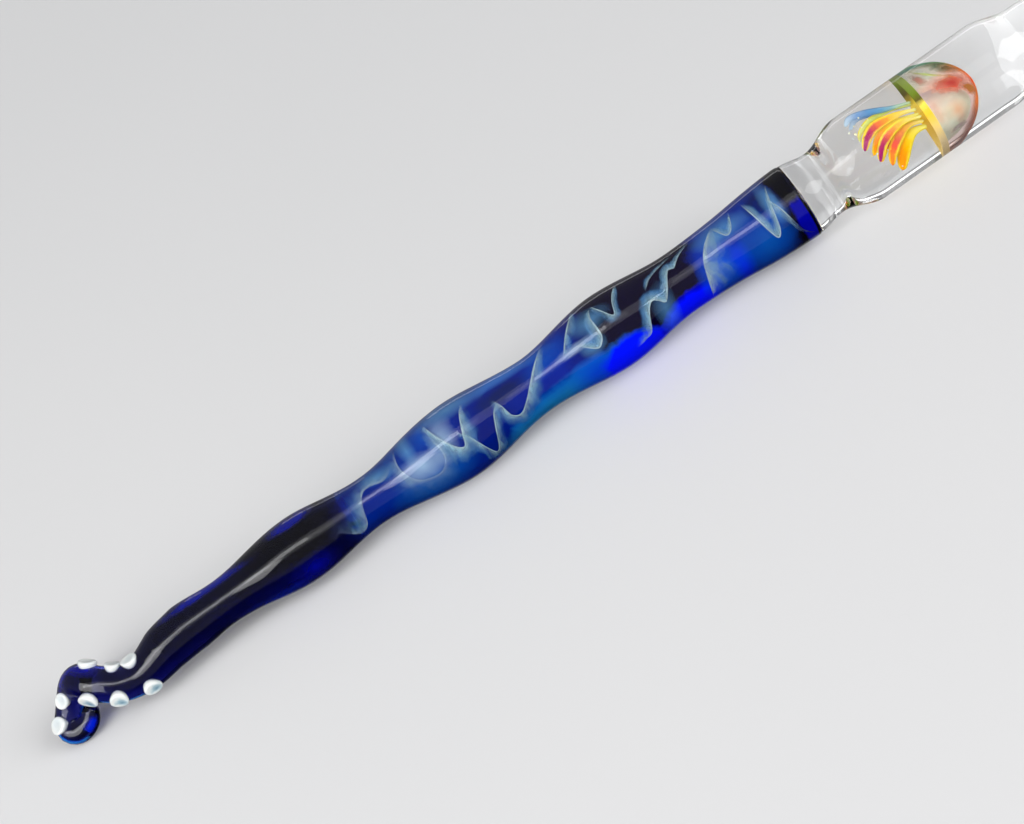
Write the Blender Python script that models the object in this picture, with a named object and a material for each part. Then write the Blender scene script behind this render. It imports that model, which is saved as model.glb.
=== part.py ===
"""Glass dip pen with an octopus-tentacle handle and a jellyfish cased in its clear barrel.

The pen lies along X with its nib towards +X, and rests on the barrel's underside and on the curl.
Sizes and stations along the pen are in millimetres; station 0 is at the middle of the curl. The
origin is in the middle of the pen's length and width, on the table. Angles round the pen are in
degrees, 0 on top and 90 towards -Y. Each piece of glass is one object.
"""
import math

import bmesh
import bpy
from mathutils import Vector

MM = 0.001
GAP = 0.3                      # between two pieces of glass

# Stations along the pen
TAIL_END = -5.3                # the rearmost sucker's rear side
CASED_START = 41.3             # the plain tentacle ends and the cased handle begins
BAND_START = 115.4
BAND_END = 117.9
NECK_WAIST = 121.9
NECK_END = 124.6
BARREL_FULL = 127.6
BELL_MOUTH = 137.4
SHOULDER_START = 149.0
SHOULDER_END = 155.3
GRIP_WAIST = 167.5
COLLAR_START = 169.9
NIB_START = 173.4
NIB_TIP = 200.0

# Radii
NECK_REAR_R = 5.25
WAIST_R = 4.65
BARREL_R = 6.35
SHOULDER_R = 5.03
GRIP_R = 3.9
COLLAR_R = 4.7
SIDES = 24                     # one flat side of the barrel faces straight down

# The turned handle: (station, radius) of each bulge and of each narrow place between two bulges
HANDLE_WAVES = [(18.3, 3.55), (24.0, 3.12), (37.1, 4.61), (48.0, 3.44), (62.7, 5.33), (75.3, 3.95),
                (87.3, 5.39), (99.3, 4.27), (BAND_END, 5.36)]
CASING_WALL = 0.5
TRAIL_ROOM = 0.95              # space between the core and the casing, where the trails lie

# The tail's middle line from the straight handle to the tip: (station, drop, depth, radius).
# It dips, swings back up, and curls round behind itself. TAIL_ROLL turns it round the pen's axis, so
# that the curl's lowest bend stands on the table.
TAIL = [(18.3, 0.0, 0.0, 3.55), (14.9, 0.45, 0.0, 3.33), (13.3, 0.87, 0.0, 3.13),
        (11.3, 1.35, 0.0, 2.87), (9.1, 1.5, 0.0, 2.6), (6.7, 0.85, 0.0, 2.45),
        (4.5, -0.65, 0.27, 2.48), (3.3, -1.65, 0.8, 2.52), (2.3, -2.35, 1.75, 2.48),
        (1.1, -2.15, 2.95, 2.35), (-0.3, -1.1, 3.85, 2.15), (-1.6, 0.15, 4.25, 2.0),
        (-2.55, 1.27, 4.2, 1.92), (-2.75, 2.25, 3.87, 1.87), (-1.87, 2.87, 3.47, 1.8),
        (-0.55, 2.8, 3.0, 1.65), (0.45, 2.35, 2.65, 1.45), (1.1, 1.75, 2.25, 1.2)]
TAIL_ROLL = math.radians(45)
TAIL_SIDES = 16

# Suckers: (distance along the tail, degrees off the tail's upper side, diameter)
SUCKERS = {"a": [(8.4, -62, 2.5), (12.4, -80, 2.4), (16.0, -78, 2.5), (20.6, -24, 2.3),
                 (25.0, -34, 2.5)],
           "b": [(8.1, 54, 2.6), (11.8, 52, 2.75), (15.2, 60, 2.8)]}
SUCKER_HEIGHT = 0.75
SUCKER_SIDES = 12
# A sucker's outline: (share of its radius, share of its height); it is dished in the middle
SUCKER_OUTLINE = [(0.94, 0.0), (1.0, 0.45), (0.84, 1.0), (0.5, 0.86), (0.0, 0.7)]

# Trails on the core: (station, angle round the pen)
TRAILS = {
    "trail_hook": [(48.3, 0), (46.7, 53), (45.3, 90), (44.0, 79), (42.6, 62)],
    "trail_zigzag_rear": [(64.9, 3), (62.9, 57), (64.2, 52), (66.0, 103), (67.3, 67), (69.4, 30),
                          (70.2, 66), (71.3, 73), (72.7, 60), (73.6, 40), (77.3, -16), (80.0, -39)],
    "trail_hairpin": [(83.3, 43), (84.7, 55), (86.0, 36), (86.9, -4), (88.7, 26), (90.7, -18)],
    "trail_zigzag_middle": [(89.2, 92), (91.3, 95), (92.7, 59), (94.0, 43), (95.3, 60), (96.7, 43),
                            (98.7, 3), (101.3, -15), (103.3, -30)],
    "trail_loops": [(101.5, 125), (101.3, 70), (102.0, 43), (103.3, 16), (105.3, -3), (106.0, 4),
                    (106.9, 24), (107.8, 19), (108.7, -12)],
    "trail_zigzag_front": [(111.2, 1), (111.6, 51), (112.6, 78), (113.6, 58), (114.3, 29), (114.7, 2)],
}
TRAIL_R = 0.17
TRAIL_SIDES = 6
TRAIL_TURN = 15                # degrees round the core that are smoothed like a millimetre along it
TRAIL_SEAM = Vector((0.3, -0.5, 0.8))
VEIL_START = 49.5              # the pale veil is a broad, thin wrap behind the trails
VEIL_END = 61.3
VEIL_FROM = -30                # angles round the pen
VEIL_TO = 105
VEIL_THICK = 0.34

# The jellyfish
BELL_R = 4.3
BELL_HEIGHT = 6.7
BELL_WALL = 0.5
BELL_STEPS = 6
RIM_WIDTH = 1.0
INNER_BELL_R = 3.0
INNER_BELL_HEIGHT = 5.2
INNER_BELL_WALL = 0.45
HEART_R = 1.5
HEART_LENGTH = 2.6

# Streamers: (angle round the pen at the tip, tip's distance from the axis, length), in order round
# the ring where their roots stand
STREAMERS = [(20, 3.7, 7.4), (62, 2.6, 9.2), (100, 1.3, 7.8), (132, 3.1, 7.2), (158, 2.5, 9.0),
             (190, 1.5, 8.2), (232, 2.8, 6.8), (280, 1.4, 9.3), (330, 3.4, 8.4)]
STREAMER_RING_R = 1.6
STREAMER_R = 0.4
STREAMER_SIDES = 8
STREAMER_STEPS = 7
STREAMER_SWAY = 0.5

# The nib
NIB_FLUTES = 8
NIB_R = 3.35
NIB_SWELL = 0.22               # where it is widest, as a share of its length
NIB_TWIST = math.radians(210)
NIB_TIP_R = 0.35
FLUTE_DEPTH = 0.24             # as a share of the radius
NIB_STEPS = 20

AXIS_HEIGHT = BARREL_R * math.cos(math.pi / SIDES)
MIDDLE = (TAIL_END + NIB_TIP) / 2

# Colour, roughness and metallic of each kind of glass
GLASS = {
    "cobalt_glass": ((0.004, 0.012, 0.25), 0.05, 0.0),
    "casing_glass": ((0.03, 0.12, 0.55), 0.04, 0.0),
    "trail_glass": ((0.42, 0.58, 0.66), 0.15, 0.0),
    "opal_glass": ((0.86, 0.88, 0.88), 0.3, 0.0),
    "clear_glass": ((0.8, 0.84, 0.85), 0.03, 0.0),
    "bell_glass": ((0.55, 0.3, 0.14), 0.1, 0.0),
    "rim_glass": ((0.5, 0.42, 0.08), 0.15, 0.0),
    "inner_bell_glass": ((0.72, 0.78, 0.62), 0.2, 0.0),
    "heart_glass": ((0.85, 0.4, 0.2), 0.2, 0.0),
    "streamer_glass": ((0.75, 0.28, 0.12), 0.15, 0.0),
}


def place(station, side=0.0, up=0.0):
    """World position of a point, from its station and its offsets from the pen's axis."""
    return Vector((station - MIDDLE, side, up + AXIS_HEIGHT)) * MM


def round_the_pen(station, degrees, radius):
    """World position of a point, from its angle round the pen and its distance from the axis."""
    angle = math.radians(degrees)
    return place(station, -radius * math.sin(angle), radius * math.cos(angle))


def glass(slot):
    """The material of one kind of glass, made the first time that it is asked for."""
    if slot in bpy.data.materials:
        return bpy.data.materials[slot]
    colour, roughness, metallic = GLASS[slot]
    material = bpy.data.materials.new(slot)
    material.use_nodes = True
    shader = material.node_tree.nodes["Principled BSDF"]
    shader.inputs["Base Color"].default_value = (*colour, 1.0)
    shader.inputs["Roughness"].default_value = roughness
    shader.inputs["Metallic"].default_value = metallic
    return material


def finish(name, shape, slot):
    """Turn a bmesh into a named object with its faces out, shaded smooth."""
    bmesh.ops.recalc_face_normals(shape, faces=shape.faces)
    mesh = bpy.data.meshes.new(name)
    shape.to_mesh(mesh)
    shape.free()
    mesh.shade_smooth()
    mesh.set_sharp_from_angle(angle=math.radians(40))
    mesh.materials.append(glass(slot))
    piece = bpy.data.objects.new(name, mesh)
    bpy.context.scene.collection.objects.link(piece)
    return piece


def join_rings(shape, near, far):
    """Faces between two rings of vertices. A ring of one vertex closes to a point."""
    count = max(len(near), len(far))
    if count == 1:
        return
    for side in range(count):
        after = (side + 1) % count
        corners = [near[side % len(near)], near[after % len(near)],
                   far[after % len(far)], far[side % len(far)]]
        shape.faces.new(list(dict.fromkeys(corners)))


def turn(name, profile, slot, hollow=False):
    """Turn a profile of (station, radius) round the pen's axis; a hollow one joins end to start."""
    shape = bmesh.new()
    step = 360 / SIDES
    rings = []
    for station, radius in profile:
        if radius == 0:
            rings.append([shape.verts.new(place(station))])
            continue
        rings.append([shape.verts.new(round_the_pen(station, step * (side + 0.5), radius))
                      for side in range(SIDES)])
    for near, far in zip(rings, rings[1:]):
        join_rings(shape, near, far)
    if hollow:
        join_rings(shape, rings[-1], rings[0])
    else:
        for ring in (rings[0], rings[-1]):
            if len(ring) > 1:
                shape.faces.new(ring)
    return finish(name, shape, slot)


def steps(start, end, pitch):
    """Evenly spaced values from start to end, about a pitch apart."""
    count = max(1, round(abs(end - start) / pitch))
    return [start + (end - start) * step / count for step in range(count + 1)]


def half_cosine(start, end, share):
    """A smooth step from start to end, level at both."""
    return start + (end - start) * (1 - math.cos(math.pi * share)) / 2


def step_profile(start, end, pitch):
    """(station, radius) points of a smooth step between two (station, radius) points."""
    return [(station, half_cosine(start[1], end[1], (station - start[0]) / (end[0] - start[0])))
            for station in steps(start[0], end[0], pitch)]


def handle_radius(station):
    """The turned handle's radius: a smooth step from each bulge to the next narrow place."""
    for start, end in zip(HANDLE_WAVES, HANDLE_WAVES[1:]):
        if station <= end[0]:
            share = (station - start[0]) / (end[0] - start[0])
            return half_cosine(start[1], end[1], share)
    return HANDLE_WAVES[-1][1]


def smooth_path(points, pitch):
    """A Catmull-Rom curve through points, which may be of any length, sampled about every pitch."""
    points = [Vector(point) for point in points]
    line = [2 * points[0] - points[1], *points, 2 * points[-1] - points[-2]]
    path = []
    for before, start, end, after in zip(line, line[1:], line[2:], line[3:]):
        count = max(1, round((end - start).length / pitch))
        for step in range(count):
            share = step / count
            path.append(start + (end - before) * share / 2
                        + (2 * before - 5 * start + 4 * end - after) * share ** 2 / 2
                        + (3 * start - before - 3 * end + after) * share ** 3 / 2)
    return [*path, points[-1]]


def sweep(path, radii, sides, facing):
    """A tube along a path of (station, side, up) points, with its two flat ends.

    facing is the direction that its seam looks in. Returns the bmesh and its rings.
    """
    shape = bmesh.new()
    rings = []
    for index, (centre, radius) in enumerate(zip(path, radii)):
        _travel, outward, across = tube_frame(path, index, facing)
        ring = []
        for side in range(sides):
            angle = math.tau * side / sides
            offset = outward * math.cos(angle) + across * math.sin(angle)
            ring.append(shape.verts.new(place(*(centre + offset * radius))))
        rings.append(ring)
    for near, far in zip(rings, rings[1:]):
        join_rings(shape, near, far)
    shape.faces.new(rings[0])
    return shape, rings


def tube_frame(path, index, facing):
    """A path's direction of travel at one of its points, the way it faces, and the way across."""
    ahead = path[min(index + 1, len(path) - 1)]
    behind = path[max(index - 1, 0)]
    travel = (ahead - behind).normalized()
    outward = (facing - facing.dot(travel) * travel).normalized()
    return travel, outward, outward.cross(travel)


def tail_line():
    """The curled tail's middle line and radii, rolled round the pen's axis."""
    rolled = []
    for station, drop, depth, radius in TAIL:
        side = depth * math.cos(TAIL_ROLL) - drop * math.sin(TAIL_ROLL)
        up = -depth * math.sin(TAIL_ROLL) - drop * math.cos(TAIL_ROLL)
        rolled.append((station, side, up, radius))
    path = smooth_path(rolled, 0.8)
    return [point.xyz for point in path], [point.w for point in path]


def tail_facing():
    """The side of the tail that its suckers look to."""
    return Vector((0, -math.cos(TAIL_ROLL), math.sin(TAIL_ROLL)))


def make_tentacle():
    """The plain tentacle: its turned stem, and the tail that curls to a rounded tip."""
    tail, tail_radii = tail_line()
    stem = steps(CASED_START, TAIL[0][0], 1.7)[:-1]
    path = [Vector((station, 0, 0)) for station in stem] + tail
    radii = [handle_radius(station) for station in stem] + tail_radii
    travel = (path[-1] - path[-2]).normalized()
    tip_centre, tip_radius = path[-1], radii[-1]
    for angle in (30, 60):
        path.append(tip_centre + travel * tip_radius * math.sin(math.radians(angle)))
        radii.append(tip_radius * math.cos(math.radians(angle)))
    shape, rings = sweep(path, radii, TAIL_SIDES, tail_facing())
    point = shape.verts.new(place(*(tip_centre + travel * tip_radius)))
    join_rings(shape, rings[-1], [point])
    for vertex in shape.verts:
        vertex.co.z = max(vertex.co.z, 0)
    finish("tentacle", shape, "cobalt_glass")


def make_sucker(name, along, degrees, diameter):
    """A round dot of glass, dished in the middle, saddled on the tail."""
    path, radii = tail_line()
    walked = 0.0
    index = 0
    while walked < along:
        walked += (path[index + 1] - path[index]).length
        index += 1
    travel, outward, across = tube_frame(path, index, tail_facing())
    angle = math.radians(degrees)
    normal = outward * math.cos(angle) + across * math.sin(angle)
    sideways = normal.cross(travel)
    radius = diameter / 2
    shape = bmesh.new()
    rings = [[shape.verts.new(saddle(path[index], radii[index], normal, travel, sideways, 0, 0, 0))]]
    for share, height in SUCKER_OUTLINE:
        ring = []
        for side in range(SUCKER_SIDES if share else 1):
            turned = math.tau * side / SUCKER_SIDES
            ring.append(shape.verts.new(saddle(
                path[index], radii[index], normal, travel, sideways,
                share * radius * math.cos(turned), share * radius * math.sin(turned),
                height * SUCKER_HEIGHT)))
        rings.append(ring)
    for near, far in zip(rings, rings[1:]):
        join_rings(shape, near, far)
    finish(name, shape, "opal_glass")


def saddle(centre, tube_radius, normal, travel, sideways, ahead, beside, height):
    """World position of a point that stands a height off a tube's skin, a gap away from it."""
    skin = math.sqrt(tube_radius ** 2 - beside ** 2)
    return place(*(centre + travel * ahead + sideways * beside + normal * (skin + GAP + height)))


def make_handle():
    """The cased length: the cobalt core, the casing over it, and the band that ends it."""
    start, end = CASED_START + GAP, BAND_START - GAP
    cased = [(station, handle_radius(station)) for station in steps(start, end, 2.8)]
    core_depth = CASING_WALL + TRAIL_ROOM
    turn("handle_core", [(station, radius - core_depth) for station, radius in cased], "cobalt_glass")
    inside = [(station, radius - CASING_WALL) for station, radius in reversed(cased)]
    turn("handle_casing", cased + inside, "casing_glass", hollow=True)
    band = [(station, handle_radius(station)) for station in steps(BAND_START, BAND_END, 1.2)]
    turn("end_band", band, "cobalt_glass")


def trail_radius(station):
    """Distance from the axis to the middle of the trails."""
    return handle_radius(station) - CASING_WALL - TRAIL_ROOM / 2


def make_trail(name, points):
    """A thin thread of pale glass that winds over the core."""
    path = []
    unrolled = [(station, degrees / TRAIL_TURN) for station, degrees in points]
    for station, turned in smooth_path(unrolled, 1.1):
        angle = math.radians(turned * TRAIL_TURN)
        radius = trail_radius(station)
        path.append(Vector((station, -radius * math.sin(angle), radius * math.cos(angle))))
    shape, rings = sweep(path, [TRAIL_R] * len(path), TRAIL_SIDES, TRAIL_SEAM)
    shape.faces.new(rings[-1])
    finish(name, shape, "trail_glass")


def make_veil():
    """The pale veil: a thin sheet of glass wrapped part of the way round the core."""
    shape = bmesh.new()
    rows = []
    for station in steps(VEIL_START, VEIL_END, 2.4):
        rows.append([shape.verts.new(round_the_pen(station, degrees, trail_radius(station)))
                     for degrees in steps(VEIL_FROM, VEIL_TO, 15)])
    for near, far in zip(rows, rows[1:]):
        for corners in zip(near, near[1:], far[1:], far):
            shape.faces.new(corners)
    veil = finish("pale_veil", shape, "trail_glass")
    solidify = veil.modifiers.new("thickness", "SOLIDIFY")
    solidify.thickness = VEIL_THICK * MM
    solidify.offset = 0


def dome(mouth, height, radius):
    """(station, radius) points of a bell-shaped dome, from its mouth to its top."""
    points = []
    for step in range(BELL_STEPS):
        angle = math.pi / 2 * step / BELL_STEPS
        points.append((mouth + height * math.sin(angle), radius * math.cos(angle) ** 0.8))
    return [*points, (mouth + height, 0)]


def clear_radius(station):
    """The clear glass's radius from the handle to the full barrel, with a waist between them."""
    if station < NECK_WAIST:
        share = (station - BAND_END) / (NECK_WAIST - BAND_END)
        return half_cosine(NECK_REAR_R, WAIST_R, share)
    share = (station - NECK_WAIST) / (BARREL_FULL - NECK_WAIST)
    return half_cosine(WAIST_R, BARREL_R, share)


def make_barrel():
    """The clear glass from the handle to the grip, with a socket for the bell."""
    neck = [(station, clear_radius(station)) for station in steps(BAND_END + GAP, NECK_END, 1.1)]
    turn("neck", neck, "clear_glass")
    rear = [(station, clear_radius(station)) for station in steps(NECK_END + GAP, BARREL_FULL, 0.9)]
    barrel_rear = turn("barrel_rear", [*rear, (BELL_MOUTH - GAP / 2, BARREL_R)], "clear_glass")
    face = BELL_MOUTH + GAP / 2
    socket = dome(face + RIM_WIDTH + GAP, BELL_HEIGHT + GAP, BELL_R + GAP)
    shoulder = step_profile((SHOULDER_START, BARREL_R), (SHOULDER_END, SHOULDER_R), 1.1)
    front = [(face, BARREL_R), *shoulder, (SHOULDER_END, 0), *reversed(socket), (face, BELL_R + GAP)]
    turn("barrel_front", front, "clear_glass", hollow=True)
    return barrel_rear


def make_bell():
    """The jellyfish's banded rim, its bell, the pale dome inside it and the lobe in that."""
    mouth = BELL_MOUTH + GAP / 2
    inside = BELL_R - BELL_WALL
    turn("jelly_rim", [(mouth, BELL_R), (mouth + RIM_WIDTH, BELL_R), (mouth + RIM_WIDTH, inside),
                       (mouth, inside)], "rim_glass", hollow=True)
    mouth += RIM_WIDTH + GAP
    outer = dome(mouth, BELL_HEIGHT, BELL_R)
    inner = dome(mouth, BELL_HEIGHT - BELL_WALL, inside)
    turn("jelly_bell", outer + inner[::-1], "bell_glass", hollow=True)
    outer = dome(mouth, INNER_BELL_HEIGHT, INNER_BELL_R)
    inner = dome(mouth, INNER_BELL_HEIGHT - INNER_BELL_WALL, INNER_BELL_R - INNER_BELL_WALL)
    turn("jelly_inner_bell", outer + inner[::-1], "inner_bell_glass", hollow=True)
    heart = [(mouth + HEART_LENGTH * (1 - math.cos(math.pi * step / 6)) / 2,
              HEART_R * math.sin(math.pi * step / 6)) for step in range(1, 6)]
    turn("jelly_heart", [(mouth, 0), *heart, (mouth + HEART_LENGTH, 0)], "heart_glass")


def streamer_path(index, tip_degrees, tip_distance, length):
    """A streamer's middle line, from its root in the ring back towards the handle and outwards."""
    root_degrees = 360 * index / len(STREAMERS) + 20
    path = []
    for step in range(STREAMER_STEPS + 1):
        share = step / STREAMER_STEPS
        sway = STREAMER_SWAY * math.sin(math.tau * share)
        distance = half_cosine(STREAMER_RING_R, tip_distance, share)
        angle = math.radians(root_degrees + (tip_degrees - root_degrees) * share)
        angle += sway / distance
        path.append(Vector((BELL_MOUTH - GAP / 2 - length * share,
                            -distance * math.sin(angle), distance * math.cos(angle))))
    return path


def make_streamers(barrel_rear):
    """The streamers, each in a channel of its own that opens at the barrel's front face."""
    for index, (tip_degrees, tip_distance, length) in enumerate(STREAMERS):
        path = streamer_path(index, tip_degrees, tip_distance, length)
        radii = [STREAMER_R * (1 - 0.4 * step / STREAMER_STEPS) for step in range(len(path))]
        shape, rings = sweep(path, radii, STREAMER_SIDES, Vector((0, -0.6, 0.8)))
        shape.faces.new(rings[-1])
        finish(f"streamer_{index + 1}", shape, "streamer_glass")

        outwards = (path[0] - path[1]).normalized() * GAP * 2
        inwards = (path[-1] - path[-2]).normalized() * GAP
        channel = [path[0] + outwards, *path[:-1], path[-1] + inwards]
        channel_radii = [STREAMER_R + GAP] + [radius + GAP for radius in radii]
        shape, rings = sweep(channel, channel_radii, STREAMER_SIDES, Vector((0, -0.6, 0.8)))
        shape.faces.new(rings[-1])
        cutter = finish(f"channel_{index + 1}", shape, "clear_glass")
        cutter.hide_render = True
        cutter.display_type = "WIRE"
        cut = barrel_rear.modifiers.new(cutter.name, "BOOLEAN")
        cut.operation = "DIFFERENCE"
        cut.object = cutter


def make_grip():
    """The clear grip, and the ring behind the nib."""
    grip = step_profile((SHOULDER_END + GAP, SHOULDER_R), (GRIP_WAIST, GRIP_R), 1.7)
    turn("grip", [*grip, (COLLAR_START - GAP, GRIP_R)], "clear_glass")
    length = NIB_START - GAP - COLLAR_START
    swell = COLLAR_R - GRIP_R
    collar = [(COLLAR_START + length * share, GRIP_R + swell * math.sin(math.pi * share) ** 0.6)
              for share in steps(0, 1, 0.125)]
    turn("nib_collar", collar, "clear_glass")


def nib_radius(share):
    """The nib's ridge radius at a share of its length: a short swell, then a long taper."""
    if share < NIB_SWELL:
        return half_cosine(NIB_R * 0.84, NIB_R, share / NIB_SWELL)
    taper = (share - NIB_SWELL) / (1 - NIB_SWELL)
    return NIB_TIP_R + (NIB_R - NIB_TIP_R) * (1 - taper) ** 0.85 * (1 - 0.25 * taper)


def make_nib():
    """The nib: a twisted bundle of round ridges, with a groove between each two for the ink."""
    shape = bmesh.new()
    sides = NIB_FLUTES * 4
    rings = []
    for step in range(NIB_STEPS + 1):
        share = step / NIB_STEPS
        station = NIB_START + (NIB_TIP - NIB_TIP_R - NIB_START) * share
        ring = []
        for side in range(sides):
            angle = math.tau * side / sides
            groove = FLUTE_DEPTH * (1 - abs(math.sin(angle * NIB_FLUTES / 2)))
            turned = math.degrees(angle + NIB_TWIST * share)
            ring.append(shape.verts.new(
                round_the_pen(station, turned, nib_radius(share) * (1 - groove))))
        rings.append(ring)
    for near, far in zip(rings, rings[1:]):
        join_rings(shape, near, far)
    join_rings(shape, rings[-1], [shape.verts.new(place(NIB_TIP))])
    shape.faces.new(rings[0])
    finish("nib", shape, "clear_glass")


def main():
    for item in list(bpy.data.objects):
        bpy.data.objects.remove(item, do_unlink=True)
    make_tentacle()
    for row, suckers in SUCKERS.items():
        for number, (along, degrees, diameter) in enumerate(suckers, start=1):
            make_sucker(f"sucker_{row}{number}", along, degrees, diameter)
    make_handle()
    make_veil()
    for name, points in TRAILS.items():
        make_trail(name, points)
    make_bell()
    make_streamers(make_barrel())
    make_grip()
    make_nib()


main()
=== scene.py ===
"""Looks of the glass dip pen: fused clear and cobalt glass, pale veils, suckers and a jellyfish.

Stations along the pen are in millimetres, as in the CAD model: station 200 is the nib's tip. Angles
round the pen are in degrees, 0 on top and 90 towards -Y. The pen lies along X on the floor.
"""
import math

import bmesh
import bpy
import numpy as np
from mathutils import Matrix, Vector, noise


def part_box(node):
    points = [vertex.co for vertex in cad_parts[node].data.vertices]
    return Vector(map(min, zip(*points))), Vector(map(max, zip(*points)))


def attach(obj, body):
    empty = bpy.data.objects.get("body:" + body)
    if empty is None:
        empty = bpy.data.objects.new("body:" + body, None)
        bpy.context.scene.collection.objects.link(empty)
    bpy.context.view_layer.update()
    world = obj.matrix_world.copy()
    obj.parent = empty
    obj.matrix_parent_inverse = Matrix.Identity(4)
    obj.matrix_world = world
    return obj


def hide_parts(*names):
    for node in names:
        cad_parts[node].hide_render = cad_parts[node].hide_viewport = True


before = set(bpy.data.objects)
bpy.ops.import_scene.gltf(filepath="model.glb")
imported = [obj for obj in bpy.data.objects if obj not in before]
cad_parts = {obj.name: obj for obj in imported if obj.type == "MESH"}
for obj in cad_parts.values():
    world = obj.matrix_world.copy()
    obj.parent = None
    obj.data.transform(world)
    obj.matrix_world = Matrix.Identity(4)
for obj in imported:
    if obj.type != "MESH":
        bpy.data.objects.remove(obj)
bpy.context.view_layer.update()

MM = 0.001

# ---------------------------------------------------------------- places, from the frame


def node_ends(node):
    """A node's two ends along the pen, as stations."""
    low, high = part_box(node)
    return (low[0] - ORIGIN_X) / MM, (high[0] - ORIGIN_X) / MM


NIB_TIP = 200.0
ORIGIN_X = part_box("nib")[1][0] - NIB_TIP * MM
AXIS_Z = (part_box("barrel_front")[0][2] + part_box("barrel_front")[1][2]) / 2
CASED_START = node_ends("handle_casing")[0]
BAND_START, BAND_END = node_ends("end_band")
BELL_MOUTH = node_ends("barrel_rear")[1]
NIB_START = node_ends("nib")[0]
COLLAR_START, COLLAR_END = node_ends("nib_collar")
BARREL_R = AXIS_Z / MM
NECK_WAIST = 121.9
BARREL_FULL = 127.6
SHOULDER_START = 149.0
SHOULDER_END = 155.3
GRIP_WAIST = 167.5
NECK_REAR_R = 5.25
WAIST_R = 4.65
SHOULDER_R = 5.03
GRIP_R = 3.9
COLLAR_R = 4.7
FUSED = 0.03                   # between the cobalt's front face and the clear glass
FRONT_EDGE = 0.15              # the rounding of the handle's front edge
CLEAR_OF_FLOOR = 0.02
CORE_UNDER_SKIN = 0.06         # how far the cobalt lies under the surface, in the plain tail
CORE_UNDER_CASING = 1.15       # and in the cased handle

# (station, radius) of the handle's bulges and narrow places
HANDLE_WAVES = [(18.3, 3.55), (24.0, 3.12), (37.1, 4.61), (48.0, 3.44), (62.7, 5.33), (75.3, 3.95),
                (87.3, 5.39), (99.3, 4.27), (BAND_END, 5.36)]
# (station, drop) of the handle's middle line: it was turned by hand, and isn't quite straight
HANDLE_SWAY = [(18.3, 0.0), (24.0, -0.1), (37.1, 0.04), (62.7, 0.18), (75.3, 0.03), (87.3, -0.11),
               (99.3, -0.09), (BAND_END, 0.0)]
# (station, drop, depth, radius) of the tail's middle line
TAIL = [(18.3, 0.0, 0.0, 3.55), (14.9, 0.45, 0.0, 3.33), (13.3, 0.87, 0.0, 3.13),
        (11.3, 1.35, 0.0, 2.87), (9.1, 1.5, 0.0, 2.6), (6.7, 0.85, 0.0, 2.45),
        (4.5, -0.65, 0.27, 2.48), (3.3, -1.65, 0.8, 2.52), (2.3, -2.35, 1.75, 2.48),
        (1.1, -2.15, 2.95, 2.35), (-0.3, -1.1, 3.85, 2.15), (-1.6, 0.15, 4.25, 2.0),
        (-2.55, 1.27, 4.2, 1.92), (-2.75, 2.25, 3.87, 1.87), (-1.87, 2.87, 3.47, 1.8),
        (-0.55, 2.8, 3.0, 1.65), (0.45, 2.35, 2.65, 1.45), (1.1, 1.75, 2.25, 1.2)]
TAIL_ROLL = math.radians(45)
TAIL_PITCH = 0.35

# Suckers: (distance along the tail, degrees off the side they look to, diameter)
SUCKERS = {"a": [(8.4, -62, 2.5), (12.4, -80, 2.4), (16.0, -78, 2.5), (20.6, -24, 2.3),
                 (25.0, -34, 2.5)],
           "b": [(8.1, 54, 2.6), (11.8, 52, 2.75), (15.2, 60, 2.8)]}
# A sucker's outline, from the tail's skin up and in to its dished middle: (share of its radius,
# height over the skin)
SUCKER_OUTLINE = [(0.86, -0.5), (0.95, 0.0), (1.0, 0.22), (0.99, 0.38), (0.94, 0.5), (0.85, 0.56),
                  (0.74, 0.56), (0.6, 0.52), (0.4, 0.48), (0.2, 0.46), (0.0, 0.455)]
SUCKER_ROOT = 0.9              # how deep its middle reaches into the tail
OPAL = (0.8, 0.83, 0.82)

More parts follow.
